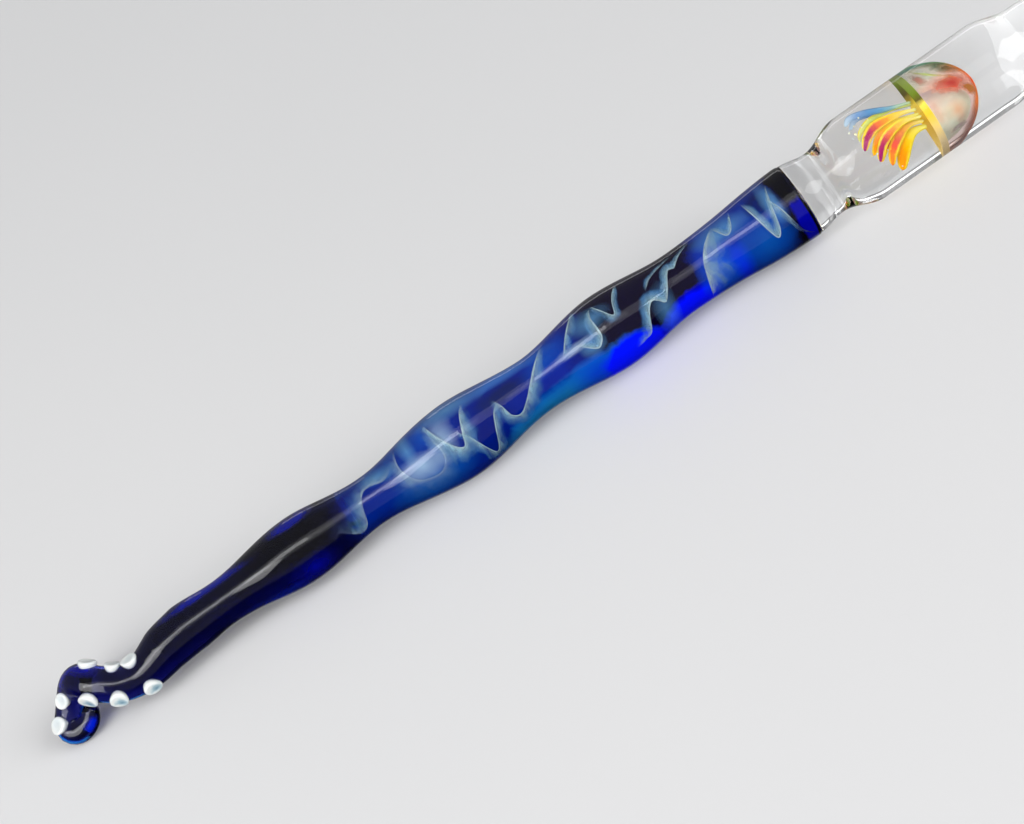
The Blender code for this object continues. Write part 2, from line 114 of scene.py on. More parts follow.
# Veils: trails of pale glass on the core. Each has a bright edge, along (station, degrees) points,
# and a sheet that fades away from it: (name, replaced node, sheet's width, side, strength, edge)
VEILS = [
    ("veil_hook", "trail_hook", 3.0, 1, 0.36, [
        (53.4, 6), (51.3, 24), (49.4, 14), (48.0, 18), (47.0, 48), (46.2, 92), (45.0, 104),
        (43.6, 82), (42.4, 64), (41.4, 80)]),
    ("veil_cloud", "pale_veil", 3.6, 1, 0.26, [
        (54.6, -24), (54.0, 20), (54.6, 52), (56.0, 70), (58.4, 72), (59.8, 50), (59.4, 10)]),
    ("veil_peak", None, 2.6, 1, 1.0, [
        (59.6, -15), (60.4, 20), (61.6, 48), (62.7, 58), (63.4, 40), (64.4, 12), (65.3, -4)]),
    ("veil_zigzag_rear", "trail_zigzag_rear", 1.8, 1, 0.9, [
        (62.6, 30), (64.0, 51), (65.1, 84), (66.0, 104), (67.3, 67), (68.4, 40), (69.6, 30)]),
    ("veil_cup", None, 2.4, 1, 0.9, [
        (69.0, 20), (69.7, 40), (70.2, 66), (71.3, 75), (72.7, 62), (74.6, 34), (76.4, 5),
        (78.4, -25)]),
    ("veil_slash", None, 1.9, 1, 0.8, [
        (80.2, 32), (81.6, 8), (83.2, -16), (84.4, -35)]),
    ("veil_drop", "trail_hairpin", 2.2, -1, 1.0, [
        (82.4, 32), (83.4, 46), (84.7, 57), (85.8, 46), (86.0, 30), (86.0, 8), (86.6, -8)]),
    ("veil_notch", None, 1.3, 1, 0.9, [
        (86.8, -10), (87.6, 8), (88.7, 27), (89.4, 8), (90.4, -14), (91.2, -26)]),
    ("veil_zigzag_middle", "trail_zigzag_middle", 2.2, -1, 0.95, [
        (89.0, 96), (90.6, 92), (91.6, 88), (92.7, 59), (93.8, 44), (94.6, 50), (95.4, 60),
        (96.6, 40), (98.0, 10), (98.8, 14), (100.4, -6), (102.6, -22)]),
    ("veil_streak", None, 1.0, -1, 0.8, [
        (94.0, 22), (95.4, 4), (97.8, -12), (99.6, -20)]),
    ("veil_shoulder", "trail_loops", 6.5, 1, 0.6, [
        (101.2, 118), (101.4, 92), (101.7, 70), (102.4, 40), (103.8, 12), (106.0, -14)]),
    ("veil_loop", None, 1.6, -1, 0.9, [
        (105.8, -8), (106.4, 12), (107.0, 24), (107.9, 20), (108.6, 2), (109.0, -16)]),
    ("veil_bright_cup", "trail_zigzag_front", 2.0, -1, 1.0, [
        (110.8, -10), (111.2, 20), (111.7, 54), (112.4, 78), (113.2, 68), (113.9, 34), (114.6, 4),
        (115.0, -12)]),
    ("veil_end", None, 1.6, 1, 0.8, [
        (114.0, 12), (114.8, 40), (115.3, 66), (115.8, 90), (117.0, 112)]),
    ("veil_under_1", None, 3.0, 1, 0.7, [
        (56.0, 190), (60.0, 150), (63.0, 180), (66.5, 230), (69.0, 196), (72.0, 168), (76.0, 200)]),
    ("veil_under_2", None, 2.8, -1, 0.8, [
        (79.0, 250), (83.0, 200), (86.0, 232), (89.0, 190), (92.0, 240), (97.0, 210),
        (100.0, 160)]),
    ("veil_under_3", None, 2.6, 1, 0.8, [
        (103.0, 200), (106.0, 250), (108.5, 210), (111.5, 260), (114.5, 200)])]
VEIL_DEPTH = 0.55              # how far the veils lie under the skin
VEIL_TURN = 12                 # degrees round the core that count like a millimetre along it
INLAY_DEPTH = 0.75             # how far the coloured drifts lie under the skin
INLAY_START = 14.0
INLAY_SPREAD = 1.1             # how much wider the casing makes the drifts look
SHEET_THICKNESS = 0.03
SHEET_COLUMNS = 9
# Painted glints in the tail, brighter blue where light shines through the curled cobalt:
# (start and end, as distances along it, degrees off the sucker side, half width in degrees,
# bright colour, deep colour)
PAINTED_GLINT_DEPTH = 0.14
TAIL_PAINTED_GLINTS = [
    (24.0, 28.2, -60, 22, (0.06, 0.42, 0.9), (0.0, 0.06, 0.8)),
    (28.2, 30.6, -30, 40, (0.0, 0.03, 0.95), (0.0, 0.01, 0.6)),
    (14.2, 20.6, -54, 36, (0.0, 0.005, 0.42), (0.0, 0.0, 0.3)),
    (8.4, 14.8, 74, 15, (0.1, 0.45, 0.9), (0.0, 0.06, 0.6)),
    (10.4, 15.6, -74, 14, (0.0, 0.06, 0.9), (0.0, 0.01, 0.5)),
    (20.4, 23.6, 62, 18, (0.05, 0.3, 0.9), (0.0, 0.03, 0.6))]
CASING_IOR = 1.5
# Drifts of colour and of painted light: (station, drop, half length, half height, lean, blur,
# colour, strength). Drops are as they look from the sucker side, through the casing. The pale and
# milky drifts are the glass's own colour; the saturated blues low on the sucker side are painted
# light shining through the cobalt, the azure streaks high on the tail are painted highlights, and
# the ink at the front face's upper side is painted shade.
# Royal blue is painted light, azure a painted highlight, ink a dark ground and painted shade.
ROYAL_PAINTED_LIGHT = (0.0, 0.004, 0.95)
AZURE_PAINTED_HIGHLIGHT = (0.0, 0.05, 1.0)
SKY = (0.001, 0.06, 0.36)
PALE = (0.09, 0.24, 0.44)
MILK = (0.34, 0.48, 0.6)
INK_AND_PAINTED_SHADE = (0.0015, 0.0, 0.012)
DRIFTS_AND_PAINTED_LIGHT = [
    # Azure streaks high on the tail: painted highlights.
    (23.0, -2.7, 7.0, 0.5, 0.0, 0.6, AZURE_PAINTED_HIGHLIGHT, 0.95),
    (37.8, -3.7, 3.6, 0.6, 0.0, 0.6, AZURE_PAINTED_HIGHLIGHT, 0.95),
    # Low on the tail: painted light, the vivid blue of light shining through the cobalt.
    (33.0, 3.0, 9.5, 1.9, 0.1, 1.2, (0.0, 0.008, 0.3), 0.9),
    (31.0, 3.55, 6.5, 0.5, 0.13, 0.9, (0.0, 0.12, 1.0), 0.95),
    (37.6, 3.2, 3.0, 1.5, 0.0, 0.9, (0.0, 0.01, 0.8), 0.9),
    (46.0, 2.0, 5.0, 2.2, -0.1, 0.9, (0.0, 0.018, 0.22), 0.7),
    (50.0, -3.4, 8.0, 0.7, -0.03, 0.8, (0.016, 0.08, 0.3), 0.8),
    (57.0, 2.8, 5.0, 2.0, 0.0, 0.9, (0.003, 0.07, 0.3), 0.9),
    (50.6, -2.1, 2.6, 0.8, 0.1, 0.9, PALE, 0.75),
    (56.0, -2.6, 0.9, 2.0, 0.0, 0.9, PALE, 0.8),
    (58.6, -3.0, 1.4, 1.6, 0.0, 0.9, SKY, 0.8),
    (56.8, 0.3, 2.9, 1.6, 0.05, 0.9, MILK, 0.8),
    (60.7, -1.3, 1.9, 2.5, -0.3, 0.9, MILK, 0.75),
    (63.5, -4.1, 4.5, 1.0, 0.05, 0.9, PALE, 0.85),
    (72.5, -3.5, 6.0, 0.7, 0.06, 0.7, (0.045, 0.17, 0.5), 0.9),
    (66.0, 1.0, 3.5, 3.4, 0.0, 0.9, (0.0, 0.004, 0.12), 0.85),
    (70.6, -1.6, 4.3, 1.1, 0.02, 0.6, (0.006, 0.012, 0.07), 0.85),
    (78.2, -2.2, 3.4, 1.8, -0.1, 0.8, SKY, 0.75),
    # Low on the sucker side: painted light shining through the cobalt.
    (79.0, 4.8, 12.0, 3.4, -0.1, 0.2, (0.004, 0.11, 0.4), 0.95),
    (74.5, 4.4, 7.5, 1.6, -0.1, 0.6, (0.008, 0.2, 0.42), 0.9),
    (83.0, 3.8, 3.6, 2.2, 0.0, 0.8, (0.001, 0.045, 0.55), 0.9),
    (84.2, 0.1, 1.6, 1.2, 0.0, 0.9, PALE, 0.9),
    (81.8, -0.9, 2.4, 0.6, 0.0, 0.9, MILK, 0.6),
    (85.6, -2.9, 2.6, 1.2, 0.0, 0.9, PALE, 0.7),
    (93.5, -1.2, 7.0, 2.9, 0.0, 0.3, INK_AND_PAINTED_SHADE, 0.97),
    # Royal blue low on the sucker side: painted light.
    (88.6, 5.0, 5.2, 3.2, 0.1, 0.2, ROYAL_PAINTED_LIGHT, 0.98),
    (97.8, 4.8, 5.6, 3.0, -0.18, 0.2, ROYAL_PAINTED_LIGHT, 0.98),
    (94.9, 1.8, 1.3, 2.6, -0.6, 1.0, PALE, 0.5),
    (104.0, 1.7, 3.0, 3.2, 0.0, 0.6, (0.003, 0.06, 0.45), 0.95),
    # Royal blue low on the sucker side: painted light.
    (106.9, 2.9, 1.2, 2.4, -0.2, 0.9, ROYAL_PAINTED_LIGHT, 0.6),
    (106.5, -2.6, 3.6, 1.3, 0.0, 0.7, (0.07, 0.2, 0.4), 0.8),
    (111.0, 2.2, 3.6, 3.0, 0.0, 0.8, (0.002, 0.07, 0.33), 0.9),
    (112.6, -2.9, 1.7, 1.7, 0.0, 0.5, (0.0, 0.006, 0.07), 0.9),
    (114.2, -1.7, 1.0, 2.4, 0.3, 0.9, PALE, 0.9),
    # The front face: royal blue below is painted light, ink above is painted shade.
    (116.9, 2.9, 1.3, 3.4, 0.0, 0.15, ROYAL_PAINTED_LIGHT, 0.98),
    (116.9, -2.9, 1.4, 2.4, 0.0, 0.25, INK_AND_PAINTED_SHADE, 0.97)]
# The ground tone under the drifts: (station, colour)
GROUND = [(40.0, (0.0, 0.0, 0.02)), (44.0, (0.0, 0.004, 0.12)), (50.0, (0.0, 0.012, 0.17)),
          (57.0, (0.001, 0.03, 0.24)), (63.0, (0.0, 0.014, 0.2)), (72.0, (0.0, 0.01, 0.2)),
          (80.0, (0.0, 0.013, 0.24)), (86.0, INK_AND_PAINTED_SHADE), (100.5, INK_AND_PAINTED_SHADE), (103.0, (0.001, 0.02, 0.27)),
          (113.0, (0.0, 0.02, 0.22)), (115.6, INK_AND_PAINTED_SHADE)]

# The jellyfish. Drops are as they look through the barrel, which widens what is in it.
BARREL_IOR = 1.47
BELL_R = 4.3
BELL_HEIGHT = 7.3
BELL_WALL = 0.12
RIM_WIDTH = 1.0
INNER_BELL_R = 2.45
INNER_BELL_HEIGHT = 5.7
INNER_BELL_DROP = 0.95
HEART_HALF_AXES = (1.3, 1.1, 0.7)
HEART_PLACE = (141.3, 2.4, 0.6)
HEART_TINTS = [(0.0, (0.95, 0.62, 0.45)), (0.5, (0.85, 0.33, 0.14)), (1.0, (0.85, 0.65, 0.5))]
# Streamers: (kind, half width, (station, drop, distance towards the sucker side) from root to tip)
STREAMERS = [
    ("plum", 0.58, [
        (137.3, -1.0, 0.6), (134.5, -2.0, 0.9), (131.5, -2.4, 1.0), (129.6, -1.6, 1.1),
        (128.4, -0.3, 1.2)]),
    ("gold", 0.42, [
        (137.3, -0.3, 0.2), (134.0, -1.2, 0.2), (131.3, -0.9, 0.2), (129.1, 0.9, 0.3)]),
    ("plum", 0.58, [
        (137.3, 0.2, 1.2), (134.5, -0.7, 1.8), (131.8, -0.2, 2.0), (130.3, 0.9, 2.1),
        (129.2, 2.4, 2.1)]),
    ("flame", 0.6, [
        (137.3, 0.9, 0.5), (135.0, 0.2, 0.9), (132.9, 1.0, 1.2), (131.3, 2.3, 1.3),
        (130.4, 3.8, 1.2)]),
    ("gold", 0.78, [
        (137.3, 1.6, -0.2), (135.3, 1.3, 0.0), (133.5, 2.2, 0.2), (132.0, 3.8, 0.3),
        (131.3, 5.0, 0.2)]),
    ("lime", 0.28, [
        (137.3, -1.8, -0.6), (134.5, -2.7, -0.8), (131.5, -3.1, -0.8), (129.4, -2.4, -0.8),
        (128.8, -1.5, -0.8)]),
    ("flame", 0.48, [
        (137.3, 0.2, -1.2), (134.0, 0.0, -1.8), (131.2, 0.6, -2.2), (129.7, 1.7, -2.3)]),
    ("mist", 0.42, [
        (137.3, -2.2, 0.3), (134.5, -3.2, 0.2), (131.5, -4.6, 0.0), (129.5, -5.2, -0.2),
        (128.4, -4.4, -0.4)]),
    ("mist", 0.3, [
        (137.3, -1.6, -1.4), (133.5, -3.0, -1.6), (130.5, -4.0, -1.6), (128.7, -3.3, -1.6)])]
# Each kind's colours from root to tip, and how solid it is
YELLOW = (1.0, 0.82, 0.05)
STREAMER_TINTS = {
    "plum": ([(0.0, (0.9, 0.95, 0.4)), (0.3, (1.0, 0.7, 0.05)), (0.52, (0.95, 0.2, 0.03)),
              (0.75, (0.38, 0.01, 0.12)), (1.0, (0.3, 0.01, 0.14))], 0.93),
    "flame": ([(0.0, (0.95, 0.92, 0.3)), (0.35, (1.0, 0.5, 0.02)), (0.62, (0.55, 0.03, 0.1)),
               (0.8, (1.0, 0.14, 0.02)), (1.0, (1.0, 0.3, 0.03))], 0.93),
    "gold": ([(0.0, (0.95, 0.95, 0.3)), (0.4, (1.0, 0.8, 0.0)), (0.65, (1.0, 0.42, 0.0)),
              (0.85, (1.0, 0.24, 0.01)), (1.0, (1.0, 0.5, 0.0))], 0.94),
    "lime": ([(0.0, (0.85, 0.95, 0.35)), (0.5, (0.6, 0.8, 0.12)), (1.0, (0.8, 0.8, 0.35))], 0.85),
    "mist": ([(0.0, (0.7, 0.85, 0.4)), (0.35, (0.12, 0.4, 0.62)), (0.7, (0.04, 0.18, 0.5)),
              (1.0, (0.65, 0.8, 0.88))], 0.65)}
# The bell's colours by drop, where it is seen edge on, and the colours laid on it, in the
# same columns as the handle's drifts.
# The spreads are how much wider the barrel makes the bell and the dome inside it look.
BELL_SPREAD = 1.16
BELL_OUTLINE = [(-5.0, (0.12, 0.34, 0.27)), (-3.6, (0.24, 0.42, 0.2)), (-2.3, (0.75, 0.26, 0.06)),
                (0.0, (0.75, 0.12, 0.03)), (2.3, (0.75, 0.22, 0.06)), (3.8, (0.42, 0.18, 0.12)),
                (5.0, (0.3, 0.22, 0.22))]
BELL_DRIFTS = [
    (140.0, -3.5, 2.2, 1.7, 0.4, 1.0, (0.85, 0.86, 0.8), 0.5),
    (138.8, 1.2, 0.8, 3.0, 0.0, 1.0, (0.9, 0.5, 0.42), 0.22),
    (143.4, -3.0, 1.9, 0.9, 0.75, 0.7, (0.07, 0.06, 0.03), 0.75),
    (141.0, -3.7, 2.0, 0.25, 0.85, 0.9, (0.55, 0.6, 0.1), 0.8),
    (142.5, -1.3, 2.4, 1.2, 0.35, 0.8, (0.42, 0.016, 0.01), 0.95),
    (144.4, 0.6, 0.9, 0.9, 0.6, 0.6, (0.35, 0.16, 0.02), 0.8),
    (139.5, -3.9, 0.85, 0.9, 0.4, 0.7, (0.4, 0.08, 0.05), 0.8),
    (141.5, 4.4, 2.6, 0.25, -0.55, 0.8, (0.3, 0.1, 0.1), 0.35),
    (140.6, 4.0, 1.4, 0.25, -0.1, 0.8, (0.25, 0.3, 0.4), 0.45)]
INNER_BELL_SPREAD = 1.3
INNER_BELL_OUTLINE = [(-3.2, (0.5, 0.45, 0.85)), (-1.5, (0.76, 0.8, 0.88)),
                      (1.5, (0.72, 0.92, 0.76)), (3.5, (0.7, 0.9, 0.78)), (5.0, (0.8, 0.74, 0.64))]
INNER_BELL_DRIFTS = [
    (139.4, 1.5, 0.9, 3.5, 0.0, 1.0, (0.9, 0.66, 0.56), 0.4),
    (141.8, 0.2, 2.6, 1.3, 0.2, 1.0, (0.82, 0.95, 0.82), 0.9),
    (141.7, 2.3, 1.2, 1.2, 0.0, 1.1, (0.85, 0.42, 0.2), 0.7)]
# Seed bubbles near the streamers' tips: (station, drop, towards, radius)
SEEDS = [(128.2, -3.8, 1.0, 0.13), (128.7, -3.2, 1.4, 0.17), (129.2, -4.3, 1.2, 0.1),
         (128.1, -2.9, 1.6, 0.09), (129.9, -3.6, 1.5, 0.12), (131.2, -4.0, 1.2, 0.09),
         (130.4, -4.9, 0.8, 0.11), (128.8, 0.9, 1.6, 0.1), (129.5, 1.1, 2.4, 0.09),
         (131.0, 5.0, 0.9, 0.1), (131.5, 4.7, 1.0, 0.08), (130.9, 1.6, 2.6, 0.08)]

# The nib
NIB_FLUTES = 8
NIB_R = 3.35
NIB_SWELL = 0.22               # where it is widest, as a share of its length
NIB_FOOT_R = NIB_R * 0.84      # where it leaves the collar
NIB_TWIST = math.radians(210)
NIB_TIP_R = 0.35
FLUTE_DEPTH = 0.26             # as a share of the radius

# The light, in metres. Parts of the softbox: (name, start, end, distance, width, radiance)
SOFTBOX_ELEVATION = math.radians(63)
SOFTBOX = [("softbox", -0.85, -0.01, 0.6, 0.11, 3.8), ("softbox_end", -0.01, 0.13, 0.6, 0.11, 0.7),
           ("softbox_edge", -0.85, 0.2, 0.62, 0.3, 0.8)]
FILL_PLACE = (1.15, -0.7, 0.9)
FILL_SIZE = (1.2, 1.2)
FILL_RADIANCE = 3.4
BACK_LINE_X = 0.33
BACK_LINE_ELEVATION = math.radians(7)
BACK_LINE_SIZE = (0.94, 0.12)
BACK_LINE_RADIANCE = 1.3
ROOM = 0.25                    # brightness of the room, and of what lies below the floor's level
LOW_FRONT = 0.02
LOW_BACK = 0.3
FLOOR_REACH = 3.0

# The camera: how the pen lies in the picture
VIEW_ELEVATION = math.radians(45)
PEN_TILT = math.radians(35)    # the pen rises to the right
VIEW_STATION = 70.4            # what the middle of the picture looks at
VIEW_DROP = 1.2
FIELD = 136.5 * MM             # width of the picture at the pen
LENS = 100.0
SENSOR = 36.0


# ---------------------------------------------------------------- shapes


def place(station, side=0.0, up=0.0):
    """World position of a point, from its station and its offsets from the pen's axis."""
    return Vector((ORIGIN_X + station * MM, side * MM, AXIS_Z + up * MM))


def round_the_pen(station, degrees, radius):
    """World position of a point, from its angle round the pen and its distance from the axis."""
    angle = math.radians(degrees)
    return place(station, -radius * math.sin(angle), radius * math.cos(angle))


def as_seen(station, drop, towards, ior=1.0):
    """World position of a point in the pen, from how far below the axis it looks to be from the
    sucker side, and how far it lies towards that side."""
    below = drop / ior
    lean = math.sqrt(0.5)
    return place(station, -(below + towards) * lean, (towards - below) * lean)


def sunk(drop):
    """How a drop shifts a point off the pen's axis, in millimetres."""
    return Vector((0, -drop * math.sin(TAIL_ROLL), -drop * math.cos(TAIL_ROLL)))


def half_cosine(start, end, share):
    """A smooth step from start to end, level at both."""
    return start + (end - start) * (1 - math.cos(math.pi * min(max(share, 0), 1))) / 2


def steps(start, end, pitch):
    """Evenly spaced values from start to end, about a pitch apart."""
    count = max(1, round(abs(end - start) / pitch))
    return [start + (end - start) * step / count for step in range(count + 1)]


def along(points, station):
    """A value at a station, by smooth steps between (station, value) points."""
    for start, end in zip(points, points[1:]):
        if station <= end[0]:
            return half_cosine(start[1], end[1], (station - start[0]) / (end[0] - start[0]))
    return points[-1][1]


def smooth_path(points, pitch):
    """A Catmull-Rom curve through points of any length, sampled about every pitch."""
    points = [Vector(point) for point in points]
    line = [2 * points[0] - points[1], *points, 2 * points[-1] - points[-2]]
    path = []
    for before, start, end, after in zip(line, line[1:], line[2:], line[3:]):
        count = max(1, round((end - start).length / pitch))
        for step in range(count):
            share = step / count
            path.append(start + (end - before) * share / 2
                        + (2 * before - 5 * start + 4 * end - after) * share ** 2 / 2
                        + (3 * start - before - 3 * end + after) * share ** 3 / 2)
    return [*path, points[-1]]


def tube_frame(path, index, facing):
    """A path's direction of travel at one of its points, the way it faces, and the way across."""
    ahead = path[min(index + 1, len(path) - 1)]
    behind = path[max(index - 1, 0)]
    travel = (ahead - behind).normalized()
    outward = (facing - facing.dot(travel) * travel).normalized()
    return travel, outward, outward.cross(travel)


def skin(name, rings, closed=False, attributes=None, sharp=35):
    """An object whose surface runs through rings of points; a ring of one point is a pole.

    A closed one joins its last ring to its first. attributes maps a name to a value per ring.
    """
    verts, starts = [], []
    for ring in rings:
        starts.append(len(verts))
        verts.extend(ring)
    faces = []
    pairs = list(zip(range(len(rings)), range(1, len(rings))))
    if closed:
        pairs.append((len(rings) - 1, 0))
    for near, far in pairs:
        near_count, far_count = len(rings[near]), len(rings[far])
        for side in range(max(near_count, far_count)):
            if max(near_count, far_count) == 1:
                break
            corners = [starts[near] + side % near_count, starts[near] + (side + 1) % near_count,
                       starts[far] + (side + 1) % far_count, starts[far] + side % far_count]
            faces.append(list(dict.fromkeys(corners)))
    if not closed:
        if len(rings[0]) > 1:
            faces.append([starts[0] + side for side in reversed(range(len(rings[0])))])
        if len(rings[-1]) > 1:
            faces.append([starts[-1] + side for side in range(len(rings[-1]))])
    mesh = bpy.data.meshes.new(name)
    mesh.from_pydata([tuple(vert) for vert in verts], [], faces)
    mesh.validate()
    for key, values in (attributes or {}).items():
        store(mesh, key, [value for value, ring in zip(values, rings) for _ in ring])
    return link(name, mesh, sharp)


def store(mesh, key, values):
    """Keep a number for each of a mesh's points."""
    data = mesh.attributes.new(key, "FLOAT", "POINT").data
    data.foreach_set("value", np.array(values, dtype=np.float32))


def thin_sheet(name, top, bottom, attributes):
    """A closed thin sheet between two grids of points; attributes has a value per grid point."""
    columns = len(top[0])
    size = len(top) * columns
    verts = [tuple(vert) for grid in (top, bottom) for row in grid for vert in row]
    faces = []
    for row in range(len(top) - 1):
        for column in range(columns - 1):
            first = row * columns + column
            face = [first, first + 1, first + columns + 1, first + columns]
            faces.append(face)
            faces.append([corner + size for corner in reversed(face)])
    rim = list(range(columns - 1))
    rim += [row * columns + columns - 1 for row in range(len(top) - 1)]
    rim += [size - 1 - column for column in range(columns - 1)]
    rim += [row * columns for row in range(len(top) - 1, 0, -1)]
    for corner, after in zip(rim, rim[1:] + rim[:1]):
        faces.append([corner, after, after + size, corner + size])
    mesh = bpy.data.meshes.new(name)
    mesh.from_pydata(verts, [], faces)
    for key, values in attributes.items():
        store(mesh, key, values * 2)
    return link(name, mesh, 60)


def put(name, data):
    """A new object in the scene."""
    thing = bpy.data.objects.new(name, data)
    bpy.context.scene.collection.objects.link(thing)
    return thing


def link(name, mesh, sharp=35):
    """Put a mesh in the scene, with its faces out and shaded smooth."""
    piece = put(name, mesh)
    outwards(mesh)
    mesh.shade_smooth()
    mesh.set_sharp_from_angle(angle=math.radians(sharp))
    return piece


def outwards(mesh):
    """Turn a closed mesh's faces out."""
    shape = bmesh.new()
    shape.from_mesh(mesh)
    bmesh.ops.recalc_face_normals(shape, faces=shape.faces)
    shape.to_mesh(mesh)
    shape.free()


def ring_round(station, radius_at, sides, drop=0.0):
    """A ring of points round the pen's axis; radius_at gives the radius at an angle in radians."""
    ring = []
    for side in range(sides):
        angle = math.tau * side / sides
        spot = round_the_pen(station, math.degrees(angle), radius_at(angle))
        ring.append(spot + sunk(drop) * MM)
    return ring


# ---------------------------------------------------------------- materials


class Tree:
    """A material's node tree, with short calls for its nodes."""

    def __init__(self, name):
        self.material = bpy.data.materials.new(name)
        self.material.use_nodes = True
        self.nodes = self.material.node_tree.nodes
        self.links = self.material.node_tree.links
        self.nodes.clear()
        self.output = self.nodes.new("ShaderNodeOutputMaterial")

    def add(self, kind, inputs=None, **settings):
        """A new node; an input is a value, or the output that feeds it."""
        node = self.nodes.new("ShaderNode" + kind)
        for key, value in settings.items():
            setattr(node, key, value)
        for key, value in (inputs or {}).items():
            socket = node.inputs[key]
            if isinstance(value, bpy.types.NodeSocket):
                self.links.new(value, socket)
            else:
                socket.default_value = value
        return node

    def ramp(self, factor, stops, interpolation="LINEAR"):
        """A colour ramp: stops are (position, colour)."""
        node = self.add("ValToRGB", {"Fac": factor})
        node.color_ramp.interpolation = interpolation
        elements = node.color_ramp.elements
        while len(elements) < len(stops):
            elements.new(0.5)
        for element, (position, colour) in zip(elements, stops):
            element.position = position
            element.color = (*colour, 1)
        return node.outputs["Color"]

    def ramp_along(self, value, stops):
        """A colour ramp whose stops are in the value's own units."""
        first, last = stops[0][0], stops[-1][0]
        shares = [((where - first) / (last - first), colour) for where, colour in stops]
        return self.ramp(self.remap(value, first, last), shares)

    def blend(self, share, colour, other):
        """A colour that goes over to another one, by a share from 0 to 1."""
        return self.add("Mix", {0: share, 6: colour, 7: other}, data_type="RGBA").outputs[2]

    def math(self, operation, first, second, clamp=False):
        return self.add("Math", {0: first, 1: second}, operation=operation,
                        use_clamp=clamp).outputs[0]

    def plus(self, first, second):
        return self.math("ADD", first, second)

    def minus(self, first, second):
        return self.math("SUBTRACT", first, second)

    def times(self, first, second, clamp=False):
        return self.math("MULTIPLY", first, second, clamp)

    def length(self, vector):
        return self.add("VectorMath", {0: vector}, operation="LENGTH").outputs["Value"]

    def remap(self, value, low, high, to_low=0.0, to_high=1.0):
        return self.add("MapRange", {"Value": value, "From Min": low, "From Max": high,
                                     "To Min": to_low, "To Max": to_high}).outputs["Result"]

    def noise(self, scale, detail=2.0, roughness=0.5, distortion=0.0, where=None):
        where = where or self.position()
        return self.add("TexNoise", {
            "Vector": where, "Scale": scale, "Detail": detail, "Roughness": roughness,
            "Distortion": distortion}).outputs["Fac"]

    def wander(self, scale, roughness=0.6, distortion=0.8, where=None):
        """Noise from about -0.5 to 0.5, for ragged outlines."""
        return self.minus(self.noise(scale, 3, roughness, distortion, where), 0.5)

    def attribute(self, key):
        return self.add("Attribute", attribute_name=key).outputs["Fac"]

    def position(self):
        return self.add("TexCoord").outputs["Object"]

    def stretched(self, scale):
        """The position scaled by axis, for grain that is drawn out."""
        return self.add("Mapping", {"Vector": self.position(), "Scale": scale}).outputs[0]

    def grazing(self):
        """How far a surface is turned away from the eye."""
        return self.add("LayerWeight", {"Blend": 0.5}).outputs["Facing"]

    def seen(self, spread):
        """A spot's station, its drop as it looks through the glass, and how far it is towards the
        sucker side. spread is how much the glass over it widens it."""
        where = self.add("SeparateXYZ", {"Vector": self.position()}).outputs
        scale = math.sqrt(0.5) / MM
        up = self.minus(where["Z"], AXIS_Z)
        station = self.math("DIVIDE", self.minus(where["X"], ORIGIN_X), MM)
        drop = self.times(self.plus(up, where["Y"]), -scale * spread)
        towards = self.times(self.minus(up, where["Y"]), scale)
        return station, drop, towards

    def bump(self, height, distance):
        return self.add("Bump", {"Height": height, "Distance": distance,
                                 "Strength": 1.0}).outputs["Normal"]

    def mix(self, factor, first, second):
        return self.add("MixShader", {0: factor, 1: first, 2: second}).outputs[0]

    def surface(self, shader):
        self.links.new(shader, self.output.inputs["Surface"])
        return self.material

    def absorb(self, colour, density):
        node = self.add("VolumeAbsorption", {"Color": (*colour, 1), "Density": density})
        self.links.new(node.outputs[0], self.output.inputs["Volume"])


def glass_skin(name, ior, absorbed=None, density=0.0):
    """Fire-polished glass: a slow ripple, a faint draw along the rod and small seeds."""
    tree = Tree(name)
    ripple = tree.noise(220, where=tree.stretched((0.3, 1, 1)))
    seeds = tree.noise(2600, 0)
    height = tree.plus(ripple, tree.times(seeds, 0.02))
    shader = tree.add("BsdfPrincipled", {
        "Base Color": (0.985, 0.992, 0.995, 1), "Transmission Weight": 1.0, "IOR": ior,
        "Roughness": tree.remap(ripple, 0.3, 0.7, 0.0, 0.02),
        "Normal": tree.bump(height, 0.00002)})
    if absorbed:
        tree.absorb(absorbed, density)
    return tree.surface(shader.outputs[0])


def inner_glass(name, absorbed, density):
    """Coloured glass fused inside clear glass: it tints, and has no surface of its own."""
    tree = Tree(name)
    shader = tree.add("BsdfPrincipled", {
        "Base Color": (1, 1, 1, 1), "Transmission Weight": 1.0, "IOR": 1.0, "Roughness": 0.0,
        "Specular IOR Level": 0.0})
    tree.absorb(absorbed, density)
    return tree.surface(shader.outputs[0])


def film(tree, colour, alpha, backlit):
    """A sheet or thread of opaline glass: part lit from the front, part glowing from behind."""
    front = tree.add("BsdfPrincipled", {"Base Color": colour, "Roughness": 0.35,
                                        "Specular IOR Level": 0.0}).outputs[0]
    back = tree.add("BsdfTranslucent", {"Color": colour}).outputs[0]
    body = tree.mix(backlit, front, back)
    clear = tree.add("BsdfTransparent").outputs[0]
    return tree.surface(tree.mix(alpha, clear, body))


